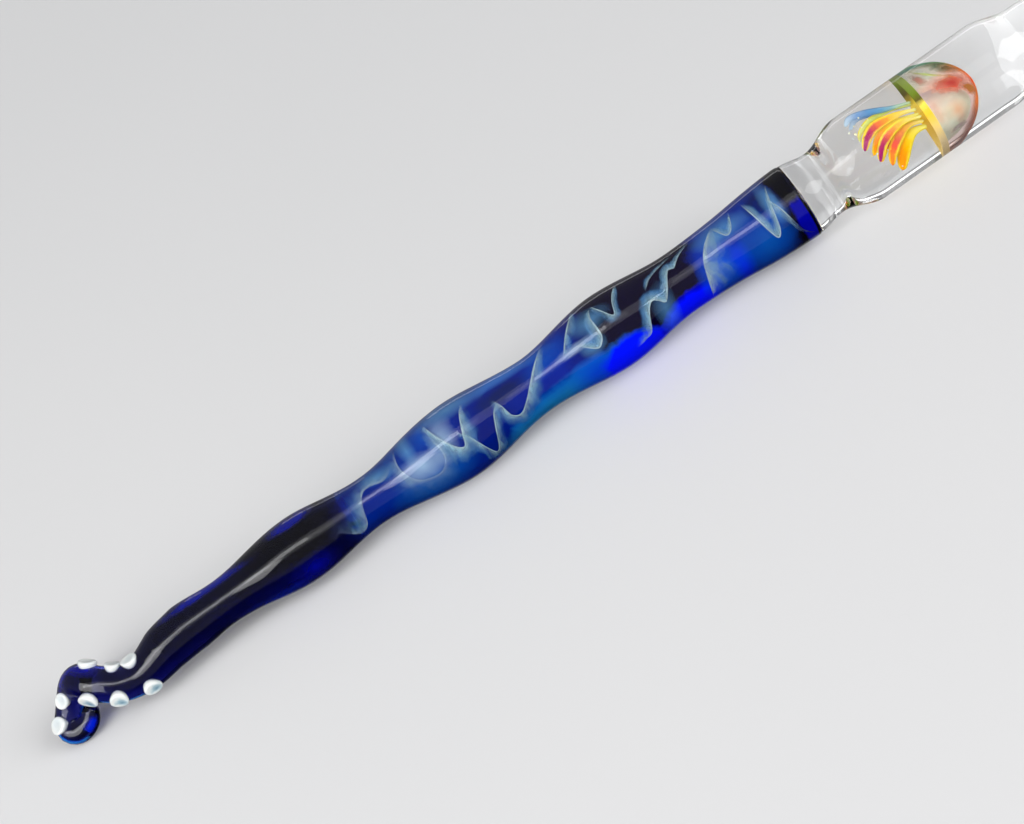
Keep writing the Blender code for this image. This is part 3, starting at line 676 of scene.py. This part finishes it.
def veil_glass(name, strength):
    """A veil: bright and dense at its edge, streaked, and fading away from it."""
    tree = Tree(name)
    across = tree.attribute("across")
    ends = tree.attribute("ends")
    streaks = tree.noise(800, 3, 0.6, 0.6, tree.stretched((1.0, 0.3, 0.3)))
    drawn = tree.noise(420)
    frayed = tree.plus(across, tree.times(tree.minus(streaks, 0.5), 0.2))
    edge = tree.times(tree.remap(frayed, 0.02, 0.16, 0.95, 0.0),
                      tree.remap(drawn, 0.35, 0.6, 0.45, 1.0))
    sheet = tree.remap(frayed, 0.05, 1.0, 0.62, 0.0)
    streaked = tree.times(sheet, tree.remap(streaks, 0.36, 0.66, 0.2, 1.3))
    alpha = tree.math("MAXIMUM", edge, streaked)
    alpha = tree.times(alpha, tree.times(ends, strength), clamp=True)
    colour = tree.ramp(frayed, [(0.0, (0.38, 0.48, 0.5)), (0.16, (0.24, 0.4, 0.48)),
                                (0.5, (0.09, 0.24, 0.44)), (1.0, (0.015, 0.12, 0.42))])
    return film(tree, colour, alpha, backlit=0.05)


def paint(tree, station, drop, drifts, colour, alpha, wander, streak, share=1.0):
    """Lay drifts on a ground, each an ellipse with a soft, ragged outline. On the handle some
    of them are painted light and shade, the rest colour.
    """
    for middle, sink, length, height, lean, blur, tint, strength in drifts:
        ahead = tree.minus(station, middle)
        below = tree.minus(tree.minus(drop, sink), tree.times(ahead, lean))
        spot = tree.add("CombineXYZ", {"X": tree.math("DIVIDE", ahead, length),
                                       "Y": tree.math("DIVIDE", below, height)}).outputs[0]
        shape = tree.plus(tree.length(spot), tree.plus(wander, streak))
        mask = tree.remap(shape, 1.0 + blur / 2, 1.0 - blur, 0.0, strength)
        mask = tree.times(mask, share)
        colour = tree.blend(mask, colour, (*tint, 1))
        alpha = tree.math("MAXIMUM", alpha, mask)
    return colour, alpha


def inlay_colour_and_painted_light(name):
    """The coloured glass laid on the core: drifts of blue, sky blue and milk, with soft edges,
    and painted light and shade: bright blue low on the sucker side, azure highlights high on the
    tail, and shade at the front face's top.
    """
    tree = Tree(name)
    station, drop, _towards = tree.seen(INLAY_SPREAD)
    wander = tree.wander(150, 0.55)
    streak = tree.wander(520, 0.6, 1.2, tree.stretched((0.7, 1, 1)))
    moved = tree.plus(station, tree.times(wander, 9.0))
    colour = tree.ramp_along(moved, GROUND)
    alpha = tree.remap(station, CASED_START, CASED_START + 4, 0.0, 0.92)
    colour, alpha = paint(tree, station, drop, DRIFTS_AND_PAINTED_LIGHT, colour, alpha,
                          tree.times(wander, 0.9), tree.times(streak, 0.2))
    return film(tree, colour, alpha, backlit=0.05)


def painted_glass(name, spread, drifts, outline, haze, solid):
    """A film of coloured glass in the barrel: hazy face on, solid where it is seen edge on.

    outline has the colours by drop; drifts lie on the side that faces the suckers.
    """
    tree = Tree(name)
    station, drop, towards = tree.seen(spread)
    wander = tree.wander(420)
    streak = tree.wander(1300)
    moved = tree.plus(drop, tree.times(wander, 2.0))
    colour = tree.ramp_along(moved, outline)
    alpha = tree.remap(tree.grazing(), 0.42, 0.78, haze, solid)
    colour, alpha = paint(tree, station, drop, drifts, colour, alpha,
                          tree.times(wander, 1.1), tree.times(streak, 0.7),
                          tree.remap(towards, -0.3, 0.3))
    return film(tree, colour, alpha, backlit=0.15)


def painted_glint_glass(name, bright, deep):
    """Painted light in the cobalt tail: a glint, bright along the middle, fading to its outline."""
    tree = Tree(name)
    across = tree.attribute("across")
    ends = tree.attribute("ends")
    wander = tree.wander(380, 0.6, 0.6)
    off = tree.plus(across, tree.times(wander, 0.9))
    colour = tree.ramp(off, [(0.1, bright), (0.75, deep)])
    fade = tree.times(tree.remap(off, 0.35, 1.0, 0.95, 0.0), ends, clamp=True)
    return film(tree, colour, fade, backlit=0.05)


def opal_glass(name, dish):
    """Opal white glass dots; dish is how strongly the pale blue-grey dish in the middle shows."""
    tree = Tree(name)
    off_middle = tree.add("VectorMath", {0: tree.position(), 1: (-0.00022, 0.00018, 0)},
                          operation="SUBTRACT").outputs[0]
    flat = tree.add("VectorMath", {0: off_middle, 1: (1, 1, 0)}, operation="MULTIPLY").outputs[0]
    mottled = tree.plus(tree.length(flat),
                        tree.times(tree.minus(tree.noise(1100, 3), 0.5), 0.0014))
    tint = tree.ramp(tree.remap(mottled, 0.0, 0.0011), [
        (0.0, (0.2, 0.34, 0.44)), (0.4, (0.38, 0.53, 0.6)), (0.75, (0.66, 0.75, 0.77)),
        (1.0, OPAL)])
    colour = tree.blend(dish, (*OPAL, 1), tint)
    shader = tree.add("BsdfPrincipled", {
        "Base Color": colour, "Roughness": 0.22, "Coat Weight": 0.6, "Coat Roughness": 0.05,
        "Subsurface Weight": 0.3, "Subsurface Radius": (0.8, 0.9, 1.0), "Subsurface Scale": 0.0006,
        "Normal": tree.bump(tree.noise(900), 0.00008)})
    return tree.surface(shader.outputs[0])


def graded_glass(name, stops, solid=0.9, fringe=None, soft=False):
    """Opaline glass whose colour runs along the piece, by its attribute "run".

    fringe is a colour that shows at the piece's two edges; a soft piece fades at its outline.
    """
    tree = Tree(name)
    run = tree.attribute("run")
    wander = tree.wander(900)
    moved = tree.plus(run, tree.times(wander, 0.24))
    colour = tree.ramp(moved, stops, "B_SPLINE")
    if fringe:
        edge = tree.plus(tree.attribute("edge"), tree.times(wander, 0.7))
        colour = tree.blend(tree.remap(edge, 0.45, 0.9), colour, (*fringe, 1))
    if soft:
        solid = tree.remap(tree.grazing(), 0.25, 0.85, solid, 0.0)
    return film(tree, colour, solid, backlit=0.15)


def floor_material():
    """Matt, near-white paper."""
    tree = Tree("pale_floor")
    tone = tree.ramp(tree.noise(3.0, 3), [(0.3, (0.68, 0.685, 0.69)), (0.7, (0.72, 0.72, 0.725))])
    shader = tree.add("BsdfPrincipled", {"Base Color": tone, "Roughness": 0.55,
                                         "Specular IOR Level": 0.25})
    return tree.surface(shader.outputs[0])


# ---------------------------------------------------------------- the handle


def handle_line(pitch):
    """The handle's middle line and radii from its front face to the tail's tip, in millimetres."""
    path, radii = [], []
    for station in steps(BAND_END, TAIL[0][0], pitch)[:-1]:
        path.append(Vector((station, 0, 0)) + sunk(along(HANDLE_SWAY, station)))
        radii.append(along(HANDLE_WAVES, station))
    tail, tail_radii = tail_line(pitch * 0.7)
    return path + tail, radii + tail_radii


def tail_line(pitch):
    """The curled tail's middle line and radii."""
    rolled = []
    for station, drop, depth, radius in TAIL:
        side = depth * math.cos(TAIL_ROLL) - drop * math.sin(TAIL_ROLL)
        up = -depth * math.sin(TAIL_ROLL) - drop * math.cos(TAIL_ROLL)
        rolled.append((station, side, up, radius))
    path = smooth_path(rolled, pitch)
    return [point.xyz for point in path], [point.w for point in path]


def sucker_side():
    """The side of the tail that its suckers look to, which the camera sees."""
    return Vector((0, -math.cos(TAIL_ROLL), math.sin(TAIL_ROLL)))


def handle_rings(inset_at, sides=64, pitch=0.5):
    """Rings of the handle's skin, or of a body under it: inset_at(station) is how far under."""
    path, radii = handle_line(pitch)
    rings = []
    facing = sucker_side()

    def ring_at(centre, outward, across, radius, wave):
        ring = []
        for side in range(sides):
            angle = math.tau * side / sides
            offset = outward * math.cos(angle) + across * math.sin(angle)
            spot = centre + offset * radius
            uneven = noise.noise(spot * 0.16) * wave
            vert = place(*(centre + offset * (radius + uneven)))
            vert.z = max(vert.z, CLEAR_OF_FLOOR * MM)
            ring.append(vert)
        return ring

    first = path[0]
    _travel, outward, across = tube_frame(path, 0, facing)
    inset = inset_at(BAND_END)
    for back, trim in ((inset, FRONT_EDGE), (inset + 0.04, 0.05), (inset + FRONT_EDGE, 0.0)):
        rings.append(ring_at(first - Vector((back, 0, 0)), outward, across,
                             radii[0] - inset - trim, 0.0))
    for index, (centre, radius) in enumerate(zip(path, radii)):
        if centre.x > BAND_END - FRONT_EDGE - inset - 0.1:
            continue
        _travel, outward, across = tube_frame(path, index, facing)
        rings.append(ring_at(centre, outward, across, radius - inset_at(centre.x), 0.1))
    travel, outward, across = tube_frame(path, len(path) - 1, facing)
    tip, radius = path[-1], radii[-1] - inset_at(0.0)
    for degrees in (18, 36, 54, 70, 82):
        angle = math.radians(degrees)
        rings.append(ring_at(tip + travel * radius * math.sin(angle), outward, across,
                             radius * math.cos(angle), 0.0))
    rings.append([place(*(tip + travel * radius))])
    return rings


def core_inset(station):
    """How far the cobalt lies under the skin: right under it at the band and in the plain tail."""
    if station >= BAND_START or station < CASED_START:
        return CORE_UNDER_SKIN
    rear = half_cosine(CORE_UNDER_SKIN, CORE_UNDER_CASING, (station - CASED_START) / 5.0)
    front = half_cosine(CORE_UNDER_CASING, CORE_UNDER_CASING * 0.9,
                        (station - BAND_START + 3) / 3.0)
    return min(rear, front)


def carry(piece, glass, slot, *nodes):
    """Give a piece its glass; slot is not used; nodes are the CAD nodes it stands for."""
    piece.data.materials.append(glass)
    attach(piece, "root")
    if nodes:
        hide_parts(*nodes)


def make_handle():
    """The handle's clear skin and the cobalt rod in it, curl and all."""
    skin_piece = skin("handle_skin", handle_rings(lambda station: 0.0))
    skin_piece.visible_shadow = False
    carry(skin_piece, glass_skin("casing_glass", CASING_IOR, (0.55, 0.75, 0.98), 160.0),
          "casing_glass", "handle_casing")
    core = skin("cobalt_core", handle_rings(core_inset, sides=48, pitch=0.6), sharp=60)
    carry(core, inner_glass("cobalt_glass", (0.0, 0.02, 0.6), 1100.0),
          "cobalt_glass", "tentacle", "handle_core", "end_band")


def skin_radius(station):
    """The handle's radius at a station."""
    return along(HANDLE_WAVES, station)


def sheet_point(station, degrees, depth):
    """A point under the handle's skin, on its swaying middle line."""
    spot = round_the_pen(station, degrees, skin_radius(station) - depth)
    return spot + sunk(along(HANDLE_SWAY, station)) * MM


def make_veil(name, edge, width, side, layer):
    """A veil of pale glass: a thin closed sheet that hangs off a bright, winding edge."""
    path = smooth_path([(station, degrees / VEIL_TURN) for station, degrees in edge], 0.35)
    path = [Vector((point.x, point.y * VEIL_TURN)) for point in path]
    top, bottom = [], []
    across, ends = [], []
    for index, point in enumerate(path):
        ahead = path[min(index + 1, len(path) - 1)]
        behind = path[max(index - 1, 0)]
        radius = skin_radius(point.x) - VEIL_DEPTH
        step = Vector((ahead.x - behind.x, math.radians(ahead.y - behind.y) * radius))
        turn = Vector((-step.y, step.x)).normalized() * side
        share = index / (len(path) - 1)
        reach = width * (0.35 + 0.65 * math.sin(math.pi * share) ** 0.7)
        reach *= 1 + 0.35 * noise.noise(Vector((point.x * 0.9, layer, point.y * 0.04)))
        depth = VEIL_DEPTH - 0.12 + 0.012 * layer + 0.12 * share
        upper, lower = [], []
        for column in range(SHEET_COLUMNS):
            out = column / (SHEET_COLUMNS - 1)
            station = point.x + turn.x * reach * out
            degrees = point.y + math.degrees(turn.y * reach * out / radius)
            sunk_edge = depth + 0.25 * out
            upper.append(sheet_point(station, degrees, sunk_edge))
            lower.append(sheet_point(station, degrees, sunk_edge + SHEET_THICKNESS))
            across.append(out)
            ends.append(min(1.0, 7 * share, 7 * (1 - share)))
        top.append(upper)
        bottom.append(lower)
    return thin_sheet(name, top, bottom, {"across": across, "ends": ends})


def make_tail_painted_glints():
    """Thin crescents of painted light: brighter blue where the curled tail catches the light."""
    path, radii = tail_line(TAIL_PITCH)
    offsets = [2 * column / (SHEET_COLUMNS - 1) - 1 for column in range(SHEET_COLUMNS)]
    for number, (start, end, degrees, half_width, bright, deep) in enumerate(TAIL_PAINTED_GLINTS, start=1):
        top, bottom, across, ends = [], [], [], []
        walked = 0.0
        for index in range(1, len(path)):
            walked += (path[index] - path[index - 1]).length
            if not start <= walked <= end:
                continue
            _travel, outward, beside = tube_frame(path, index, sucker_side())
            share = (walked - start) / (end - start)
            for grid, depth in ((top, PAINTED_GLINT_DEPTH), (bottom, PAINTED_GLINT_DEPTH + SHEET_THICKNESS)):
                row = []
                for off in offsets:
                    angle = math.radians(degrees + off * half_width)
                    spot = outward * math.cos(angle) + beside * math.sin(angle)
                    row.append(place(*(path[index] + spot * (radii[index] - depth))))
                grid.append(row)
            across += [abs(off) for off in offsets]
            ends += [min(1.0, 4 * share, 4 * (1 - share))] * SHEET_COLUMNS
        piece = thin_sheet(f"tail_painted_glint_{number}", top, bottom, {"across": across, "ends": ends})
        carry(piece, painted_glint_glass(f"tail_painted_glint_glass_{number}", bright, deep), "cobalt_glass")


def make_veils():
    """All the veils, each a little deeper than the last, and the sleeve under them, with its colour
    and its painted light and shade.
    """
    for layer, (name, node, width, side, strength, edge) in enumerate(VEILS):
        piece = make_veil(name, edge, width, side, layer)
        nodes = [node] if node else []
        carry(piece, veil_glass(name + "_glass", strength), "trail_glass", *nodes)
    make_inlay()


def make_inlay():
    """The thin sleeve on the core, from the tail to the front face: coloured glass, with painted
    light and shade.
    """
    sides = 96
    rings = []
    for depth in (INLAY_DEPTH, INLAY_DEPTH + SHEET_THICKNESS):
        way = steps(INLAY_START, BAND_END - 0.4, 0.5)
        if depth > INLAY_DEPTH:
            way.reverse()
        for station in way:
            rings.append([sheet_point(station, 360 * side / sides, depth) for side in range(sides)])
    sleeve = skin("blue_inlay", rings, closed=True, sharp=60)
    carry(sleeve, inlay_colour_and_painted_light("inlay_colour_and_painted_light"), "trail_glass")


def make_suckers():
    """The opal suckers, each lying over the round of the tail where it is fused on."""
    path, radii = tail_line(TAIL_PITCH)
    glasses = {"a": opal_glass("opal_glass_white", 0.25), "b": opal_glass("opal_glass_dished", 1.0)}
    sides = 40
    for row, suckers in SUCKERS.items():
        for number, (distance, degrees, diameter) in enumerate(suckers, start=1):
            walked, index = 0.0, 0
            while walked < distance:
                walked += (path[index + 1] - path[index]).length
                index += 1
            travel, outward, across = tube_frame(path, index, sucker_side())
            angle = math.radians(degrees)
            normal = outward * math.cos(angle) + across * math.sin(angle)
            tube = radii[index]
            rings = [[Vector((0, 0, -SUCKER_ROOT)) * MM]]
            for share, height in SUCKER_OUTLINE:
                ring = []
                for side in range(sides if share else 1):
                    turned = math.tau * side / sides
                    reach = share * diameter / 2 * (1 + 0.06 * math.cos(2 * turned + number * 1.7))
                    ahead = reach * math.cos(turned)
                    aside = reach * math.sin(turned)
                    sink = math.sqrt(max(tube ** 2 - aside ** 2, 0)) - tube
                    ring.append(Vector((ahead, aside, height + sink * 0.55)) * MM)
                rings.append(ring)
            piece = skin(f"opal_sucker_{row}{number}", rings, sharp=50)
            base = place(*(path[index] + normal * tube))
            turn = Matrix((travel, normal.cross(travel), normal)).transposed()
            piece.matrix_world = Matrix.Translation(base) @ turn.to_4x4()
            carry(piece, glasses[row], "opal_glass", f"sucker_{row}{number}")


# ---------------------------------------------------------------- the clear glass


def nib_radius(share):
    """The nib's ridge radius at a share of its length: a short swell, then a long taper."""
    if share < NIB_SWELL:
        return half_cosine(NIB_FOOT_R, NIB_R, share / NIB_SWELL)
    taper = (share - NIB_SWELL) / (1 - NIB_SWELL)
    return NIB_TIP_R + (NIB_R - NIB_TIP_R) * (1 - taper) ** 0.85 * (1 - 0.25 * taper)


def clear_radius(station):
    """The clear glass's radius from the handle to the nib, without the flutes."""
    profile = [(BAND_END, NECK_REAR_R), (NECK_WAIST, WAIST_R), (BARREL_FULL, BARREL_R),
               (SHOULDER_START, BARREL_R), (SHOULDER_END, SHOULDER_R), (GRIP_WAIST, GRIP_R),
               (COLLAR_START, GRIP_R)]
    if station <= COLLAR_START:
        return along(profile, station)
    if station <= COLLAR_END:
        share = (station - COLLAR_START) / (COLLAR_END - COLLAR_START)
        foot = GRIP_R + (NIB_FOOT_R - GRIP_R) * share
        return foot + (COLLAR_R - GRIP_R) * math.sin(math.pi * share) ** 0.7
    return nib_radius(nib_share(station))


def nib_share(station):
    """How far along the nib a station is, as a share of its fluted length."""
    return max(0.0, (station - NIB_START) / (NIB_TIP - NIB_TIP_R - NIB_START))


def clear_glass_ring(station, sides):
    """A ring of the clear glass: fluted and twisted in the nib, hand-made elsewhere."""
    share = nib_share(station)
    depth = FLUTE_DEPTH * min(1.0, share / 0.06)
    turned = NIB_TWIST * share
    mean = clear_radius(station)

    def radius_at(angle):
        ridge = abs(math.sin((angle - turned) * NIB_FLUTES / 2))
        uneven = 0.0
        if station < COLLAR_START:
            spot = Vector((station, mean * math.sin(angle), mean * math.cos(angle)))
            lifted = min(1.0, max(0.0, (BARREL_R - mean) / 0.3))
            uneven = 0.05 * noise.noise(spot * 0.15) * lifted
        return mean * (1 - depth * (1 - ridge ** 0.7)) + uneven

    return ring_round(station, radius_at, sides)


def make_clear_glass():
    """One fused body of clear glass: neck, barrel, grip, collar and twisted nib."""
    sides = 96
    start = BAND_END + FUSED
    rings = [ring_round(start, lambda angle: NECK_REAR_R - 0.15, sides),
             ring_round(start + 0.05, lambda angle: NECK_REAR_R - 0.04, sides)]
    for station in steps(start + 0.15, COLLAR_START, 0.6)[:-1]:
        rings.append(clear_glass_ring(station, sides))
    for station in steps(COLLAR_START, NIB_TIP - NIB_TIP_R, 0.25):
        rings.append(clear_glass_ring(station, sides))
    for degrees in (30, 60):
        angle = math.radians(degrees)
        rings.append(ring_round(NIB_TIP - NIB_TIP_R * (1 - math.sin(angle)),
                                lambda _angle: NIB_TIP_R * math.cos(angle) * 0.95, sides))
    rings.append([place(NIB_TIP)])
    body = skin("clear_barrel_and_nib", rings, sharp=50)
    body.visible_shadow = False
    carry(body, glass_skin("clear_glass", BARREL_IOR), "clear_glass",
          "neck", "barrel_rear", "barrel_front", "grip", "nib_collar", "nib")


# ---------------------------------------------------------------- the jellyfish


def dome_rings(mouth, height, radius, drop, wobble, sides=64, count=18):
    """Rings of a bell-shaped dome from its scalloped mouth to its top."""
    rings = []
    for step in range(count):
        share = step / count
        angle = math.pi / 2 * share
        mean = radius * math.cos(angle) ** 1.1
        scallop = wobble * (1 - share)
        rings.append(ring_round(
            mouth + height * math.sin(angle),
            lambda around, mean=mean, scallop=scallop: mean * (1 + scallop * math.cos(8 * around)),
            sides, drop))
    return [*rings, ring_round(mouth + height, lambda around: 0.0, 1, drop)]


def shell(name, mouth, height, radius, wall, wobble, drop=0.0):
    """A thin bell-shaped shell."""
    outer = dome_rings(mouth, height, radius, drop, wobble)
    inner = dome_rings(mouth, height - wall, radius - wall, drop, wobble)
    return skin(name, outer + inner[::-1], closed=True, sharp=60)


def blob(name, centre, size, degrees, sides=24, count=14):
    """A soft lump; size is its half axes: along the pen, down, and towards the sucker side."""
    middle = as_seen(*centre, BARREL_IOR)
    towards = Vector((0, -1, 1)).normalized()
    down = Vector((0, -1, -1)).normalized()
    twist = Matrix.Rotation(math.radians(degrees), 3, towards)
    ahead, below = twist @ Vector((1, 0, 0)), twist @ down
    rings, run = [], []
    for step in range(count + 1):
        lean = math.pi * step / count
        ring = []
        for side in range(1 if step in (0, count) else sides):
            around = math.tau * side / sides
            spot = (-ahead * size[0] * math.cos(lean)
                    + (below * size[1] * math.cos(around)
                       + towards * size[2] * math.sin(around)) * math.sin(lean))
            spot *= 1 + 0.3 * noise.noise(spot * 0.9 + Vector(centre))
            ring.append(middle + spot * MM)
        rings.append(ring)
        run.append(step / count)
    return skin(name, rings, attributes={"run": run}, sharp=80)


def rim_glass():
    """The rim's glass: olive on its upper side, then yellow, orange and beige."""
    tree = Tree("rim_glass")
    where = tree.add("SeparateXYZ", {"Vector": tree.position()}).outputs
    level = tree.plus(tree.minus(where["Z"], AXIS_Z), where["Y"])
    band = tree.plus(tree.remap(level, -0.0062, 0.0062),
                     tree.times(tree.minus(tree.noise(700, 3), 0.5), 0.12))
    colour = tree.ramp(band, [
        (0.05, (0.75, 0.6, 0.35)), (0.28, (0.95, 0.7, 0.2)), (0.45, (1.0, 0.62, 0.03)),
        (0.6, (1.0, 0.8, 0.08)), (0.68, (0.12, 0.09, 0.01)), (0.78, (0.16, 0.24, 0.01)),
        (0.97, (0.3, 0.38, 0.08))])
    return film(tree, colour, 0.85, backlit=0.15)


def make_bell():
    """The jellyfish's rim, its bell under a painted film, the dome inside it and its heart."""
    mouth = BELL_MOUTH + 0.1
    rim_rings = []
    for station, radius in ((0, BELL_R - 0.1), (0, BELL_R), (RIM_WIDTH * 0.5, BELL_R + 0.05),
                            (RIM_WIDTH, BELL_R), (RIM_WIDTH, BELL_R - 0.35), (0, BELL_R - 0.3)):
        rim_rings.append(ring_round(mouth + station, lambda angle, radius=radius: radius, 64))
    rim = skin("bell_rim", rim_rings, closed=True, sharp=60)
    carry(rim, rim_glass(), "rim_glass", "jelly_rim")

    start = mouth + RIM_WIDTH + 0.05
    bell = shell("bell", start, BELL_HEIGHT - 0.1, BELL_R, BELL_WALL, wobble=0.012)
    bell.visible_shadow = False
    carry(bell, inner_glass("bell_glass", (1.0, 0.45, 0.25), 500.0), "bell_glass", "jelly_bell")

    skin_of_bell = shell("bell_film", start, BELL_HEIGHT, BELL_R + 0.05, SHEET_THICKNESS,
                         wobble=0.012)
    colours = painted_glass("bell_film_glass", BELL_SPREAD, BELL_DRIFTS, BELL_OUTLINE, 0.08, 0.92)
    carry(skin_of_bell, colours, "bell_glass")

    inner = shell("inner_bell", start, INNER_BELL_HEIGHT, INNER_BELL_R, 0.3, 0.02, INNER_BELL_DROP)
    colours = painted_glass("inner_bell_glass", INNER_BELL_SPREAD, INNER_BELL_DRIFTS,
                            INNER_BELL_OUTLINE, 0.66, 0.95)
    carry(inner, colours, "inner_bell_glass", "jelly_inner_bell")

    heart = blob("bell_heart", HEART_PLACE, HEART_HALF_AXES, 10)
    carry(heart, graded_glass("heart_glass", HEART_TINTS, soft=True), "heart_glass", "jelly_heart")


def make_seeds():
    """A few tiny bubbles, trapped where the streamers end, drawn as pale specks: painted glints."""
    shape = bmesh.new()
    for station, drop, towards, radius in SEEDS:
        where = Matrix.Translation(as_seen(station, drop, towards, BARREL_IOR))
        bmesh.ops.create_icosphere(shape, subdivisions=3, radius=radius * MM, matrix=where)
    mesh = bpy.data.meshes.new("seed_bubbles")
    shape.to_mesh(mesh)
    shape.free()
    seeds = link("seed_bubbles", mesh, 80)
    tree = Tree("seed_painted_glint")
    # Pale, mostly solid specks: the bubbles' glints, painted.
    tint = tree.ramp(tree.noise(1500, 1), [(0.35, (0.95, 0.9, 0.6)), (0.6, (0.9, 0.97, 1.0))])
    carry(seeds, film(tree, tint, 0.8, backlit=0.5), "clear_glass")


def make_streamers():
    """The streamers: flattened, tapering threads, yellow at their edges."""
    sides = 20
    glasses = {}
    for kind, (stops, solid) in STREAMER_TINTS.items():
        fringe = None if kind == "mist" else YELLOW
        glasses[kind] = graded_glass(f"streamer_{kind}", stops, solid, fringe)
    for number, (kind, width, points) in enumerate(STREAMERS, start=1):
        path = smooth_path([tuple((as_seen(*point, BARREL_IOR) - place(0)) / MM)
                            for point in points], 0.25)
        rings, run, edges = [], [], []
        for step, centre in enumerate(path):
            share = step / (len(path) - 1)
            _travel, outward, across = tube_frame(path, step, sucker_side())
            swell = width * half_cosine(0.3, 1.0, share / 0.75) * math.sqrt(1 - share ** 10)
            tip = step in (0, len(path) - 1)
            ring = []
            for side in range(1 if tip else sides):
                angle = math.tau * side / sides
                spot = outward * math.cos(angle) * 0.6 + across * math.sin(angle)
                ring.append(place(*(centre if tip else centre + spot * swell)))
                edges.append(abs(math.sin(angle)))
            rings.append(ring)
            run.append(share)
        piece = skin(f"jelly_streamer_{number}", rings, attributes={"run": run}, sharp=80)
        store(piece.data, "edge", edges)
        carry(piece, glasses[kind], "streamer_glass", f"streamer_{number}")


# ---------------------------------------------------------------- floor, light and camera


def make_stage():
    """The plain pale floor. Glossy rays pass it by, so the glass keeps its dark reflections."""
    mesh = bpy.data.meshes.new("floor")
    corners = [(-1, -1), (1, -1), (1, 1), (-1, 1)]
    mesh.from_pydata([(x * FLOOR_REACH, y * FLOOR_REACH, 0) for x, y in corners], [],
                     [(0, 1, 2, 3)])
    floor = put("floor", mesh)
    floor.data.materials.append(floor_material())
    floor.visible_glossy = False


def area_light(name, place_at, target, size, radiance):
    """A rectangular light, as bright as radiance says when it is looked at."""
    data = bpy.data.lights.new(name, "AREA")
    data.shape = "RECTANGLE"
    data.size, data.size_y = size
    data.energy = radiance * math.pi * data.size * data.size_y
    lamp = put(name, data)
    away = Vector(place_at) - Vector(target)
    lamp.matrix_world = (Matrix.Translation(place_at)
                         @ away.to_track_quat("Z", "Y").to_matrix().to_4x4())


def make_light():
    """A long softbox over the pen, two big ones off its ends, and a low line of light behind it."""
    for name, start, end, away, width, radiance in SOFTBOX:
        middle = (start + end) / 2
        high = away * math.sin(SOFTBOX_ELEVATION)
        place_at = (middle, -away * math.cos(SOFTBOX_ELEVATION), high)
        area_light(name, place_at, (middle, 0, 0), (end - start, width), radiance)
    for name, side in (("tail_fill", -1), ("nib_fill", 1)):
        x, y, z = FILL_PLACE
        area_light(name, (side * x, y, z), (0, 0, 0), FILL_SIZE, FILL_RADIANCE)
    back_line = (BACK_LINE_X, math.cos(BACK_LINE_ELEVATION), math.sin(BACK_LINE_ELEVATION))
    area_light("back_line", back_line, (BACK_LINE_X, 0, 0), BACK_LINE_SIZE, BACK_LINE_RADIANCE)
    make_surroundings()


def make_surroundings():
    """A soft grey room; under the floor's level it is dark in front and pale behind."""
    world = bpy.data.worlds.new("studio")
    bpy.context.scene.world = world
    world.use_nodes = True
    nodes, links = world.node_tree.nodes, world.node_tree.links
    background = nodes["Background"]
    coordinates = nodes.new("ShaderNodeTexCoord")
    split = nodes.new("ShaderNodeSeparateXYZ")
    links.new(coordinates.outputs["Generated"], split.inputs[0])
    behind = nodes.new("ShaderNodeMapRange")
    above = nodes.new("ShaderNodeMapRange")
    for node, axis, limits in ((behind, "Y", (0.1, 0.4, LOW_FRONT, LOW_BACK)),
                               (above, "Z", (-0.03, 0.03, 0.0, 1.0))):
        links.new(split.outputs[axis], node.inputs["Value"])
        for socket, value in zip(("From Min", "From Max", "To Min", "To Max"), limits):
            node.inputs[socket].default_value = value
    mixed = nodes.new("ShaderNodeMix")
    links.new(above.outputs[0], mixed.inputs[0])
    links.new(behind.outputs[0], mixed.inputs[2])
    mixed.inputs[3].default_value = ROOM
    links.new(mixed.outputs[0], background.inputs["Strength"])
    background.inputs["Color"].default_value = (1.0, 0.99, 1.0, 1)


def make_camera():
    """The camera, square on to the sucker side, with the pen rising to the right."""
    data = bpy.data.cameras.new("camera")
    data.lens = LENS
    data.sensor_width = SENSOR
    data.clip_start = 0.01
    camera = put("camera", data)
    back = Vector((0, -math.cos(VIEW_ELEVATION), math.sin(VIEW_ELEVATION)))
    down = Vector((0, -math.sin(VIEW_ELEVATION), -math.cos(VIEW_ELEVATION)))
    along_pen = Vector((1, 0, 0))
    right = along_pen * math.cos(PEN_TILT) + down * math.sin(PEN_TILT)
    up = along_pen * math.sin(PEN_TILT) - down * math.cos(PEN_TILT)
    distance = FIELD * LENS / SENSOR
    target = place(VIEW_STATION) + down * VIEW_DROP * MM
    camera.matrix_world = (Matrix.Translation(target + back * distance)
                           @ Matrix((right, up, back)).transposed().to_4x4())
    bpy.context.scene.camera = camera
    bpy.context.scene.view_settings.view_transform = "Standard"


make_handle()
make_veils()
make_tail_painted_glints()
make_suckers()
make_clear_glass()
make_bell()
make_streamers()
make_seeds()
make_stage()
make_light()
make_camera()
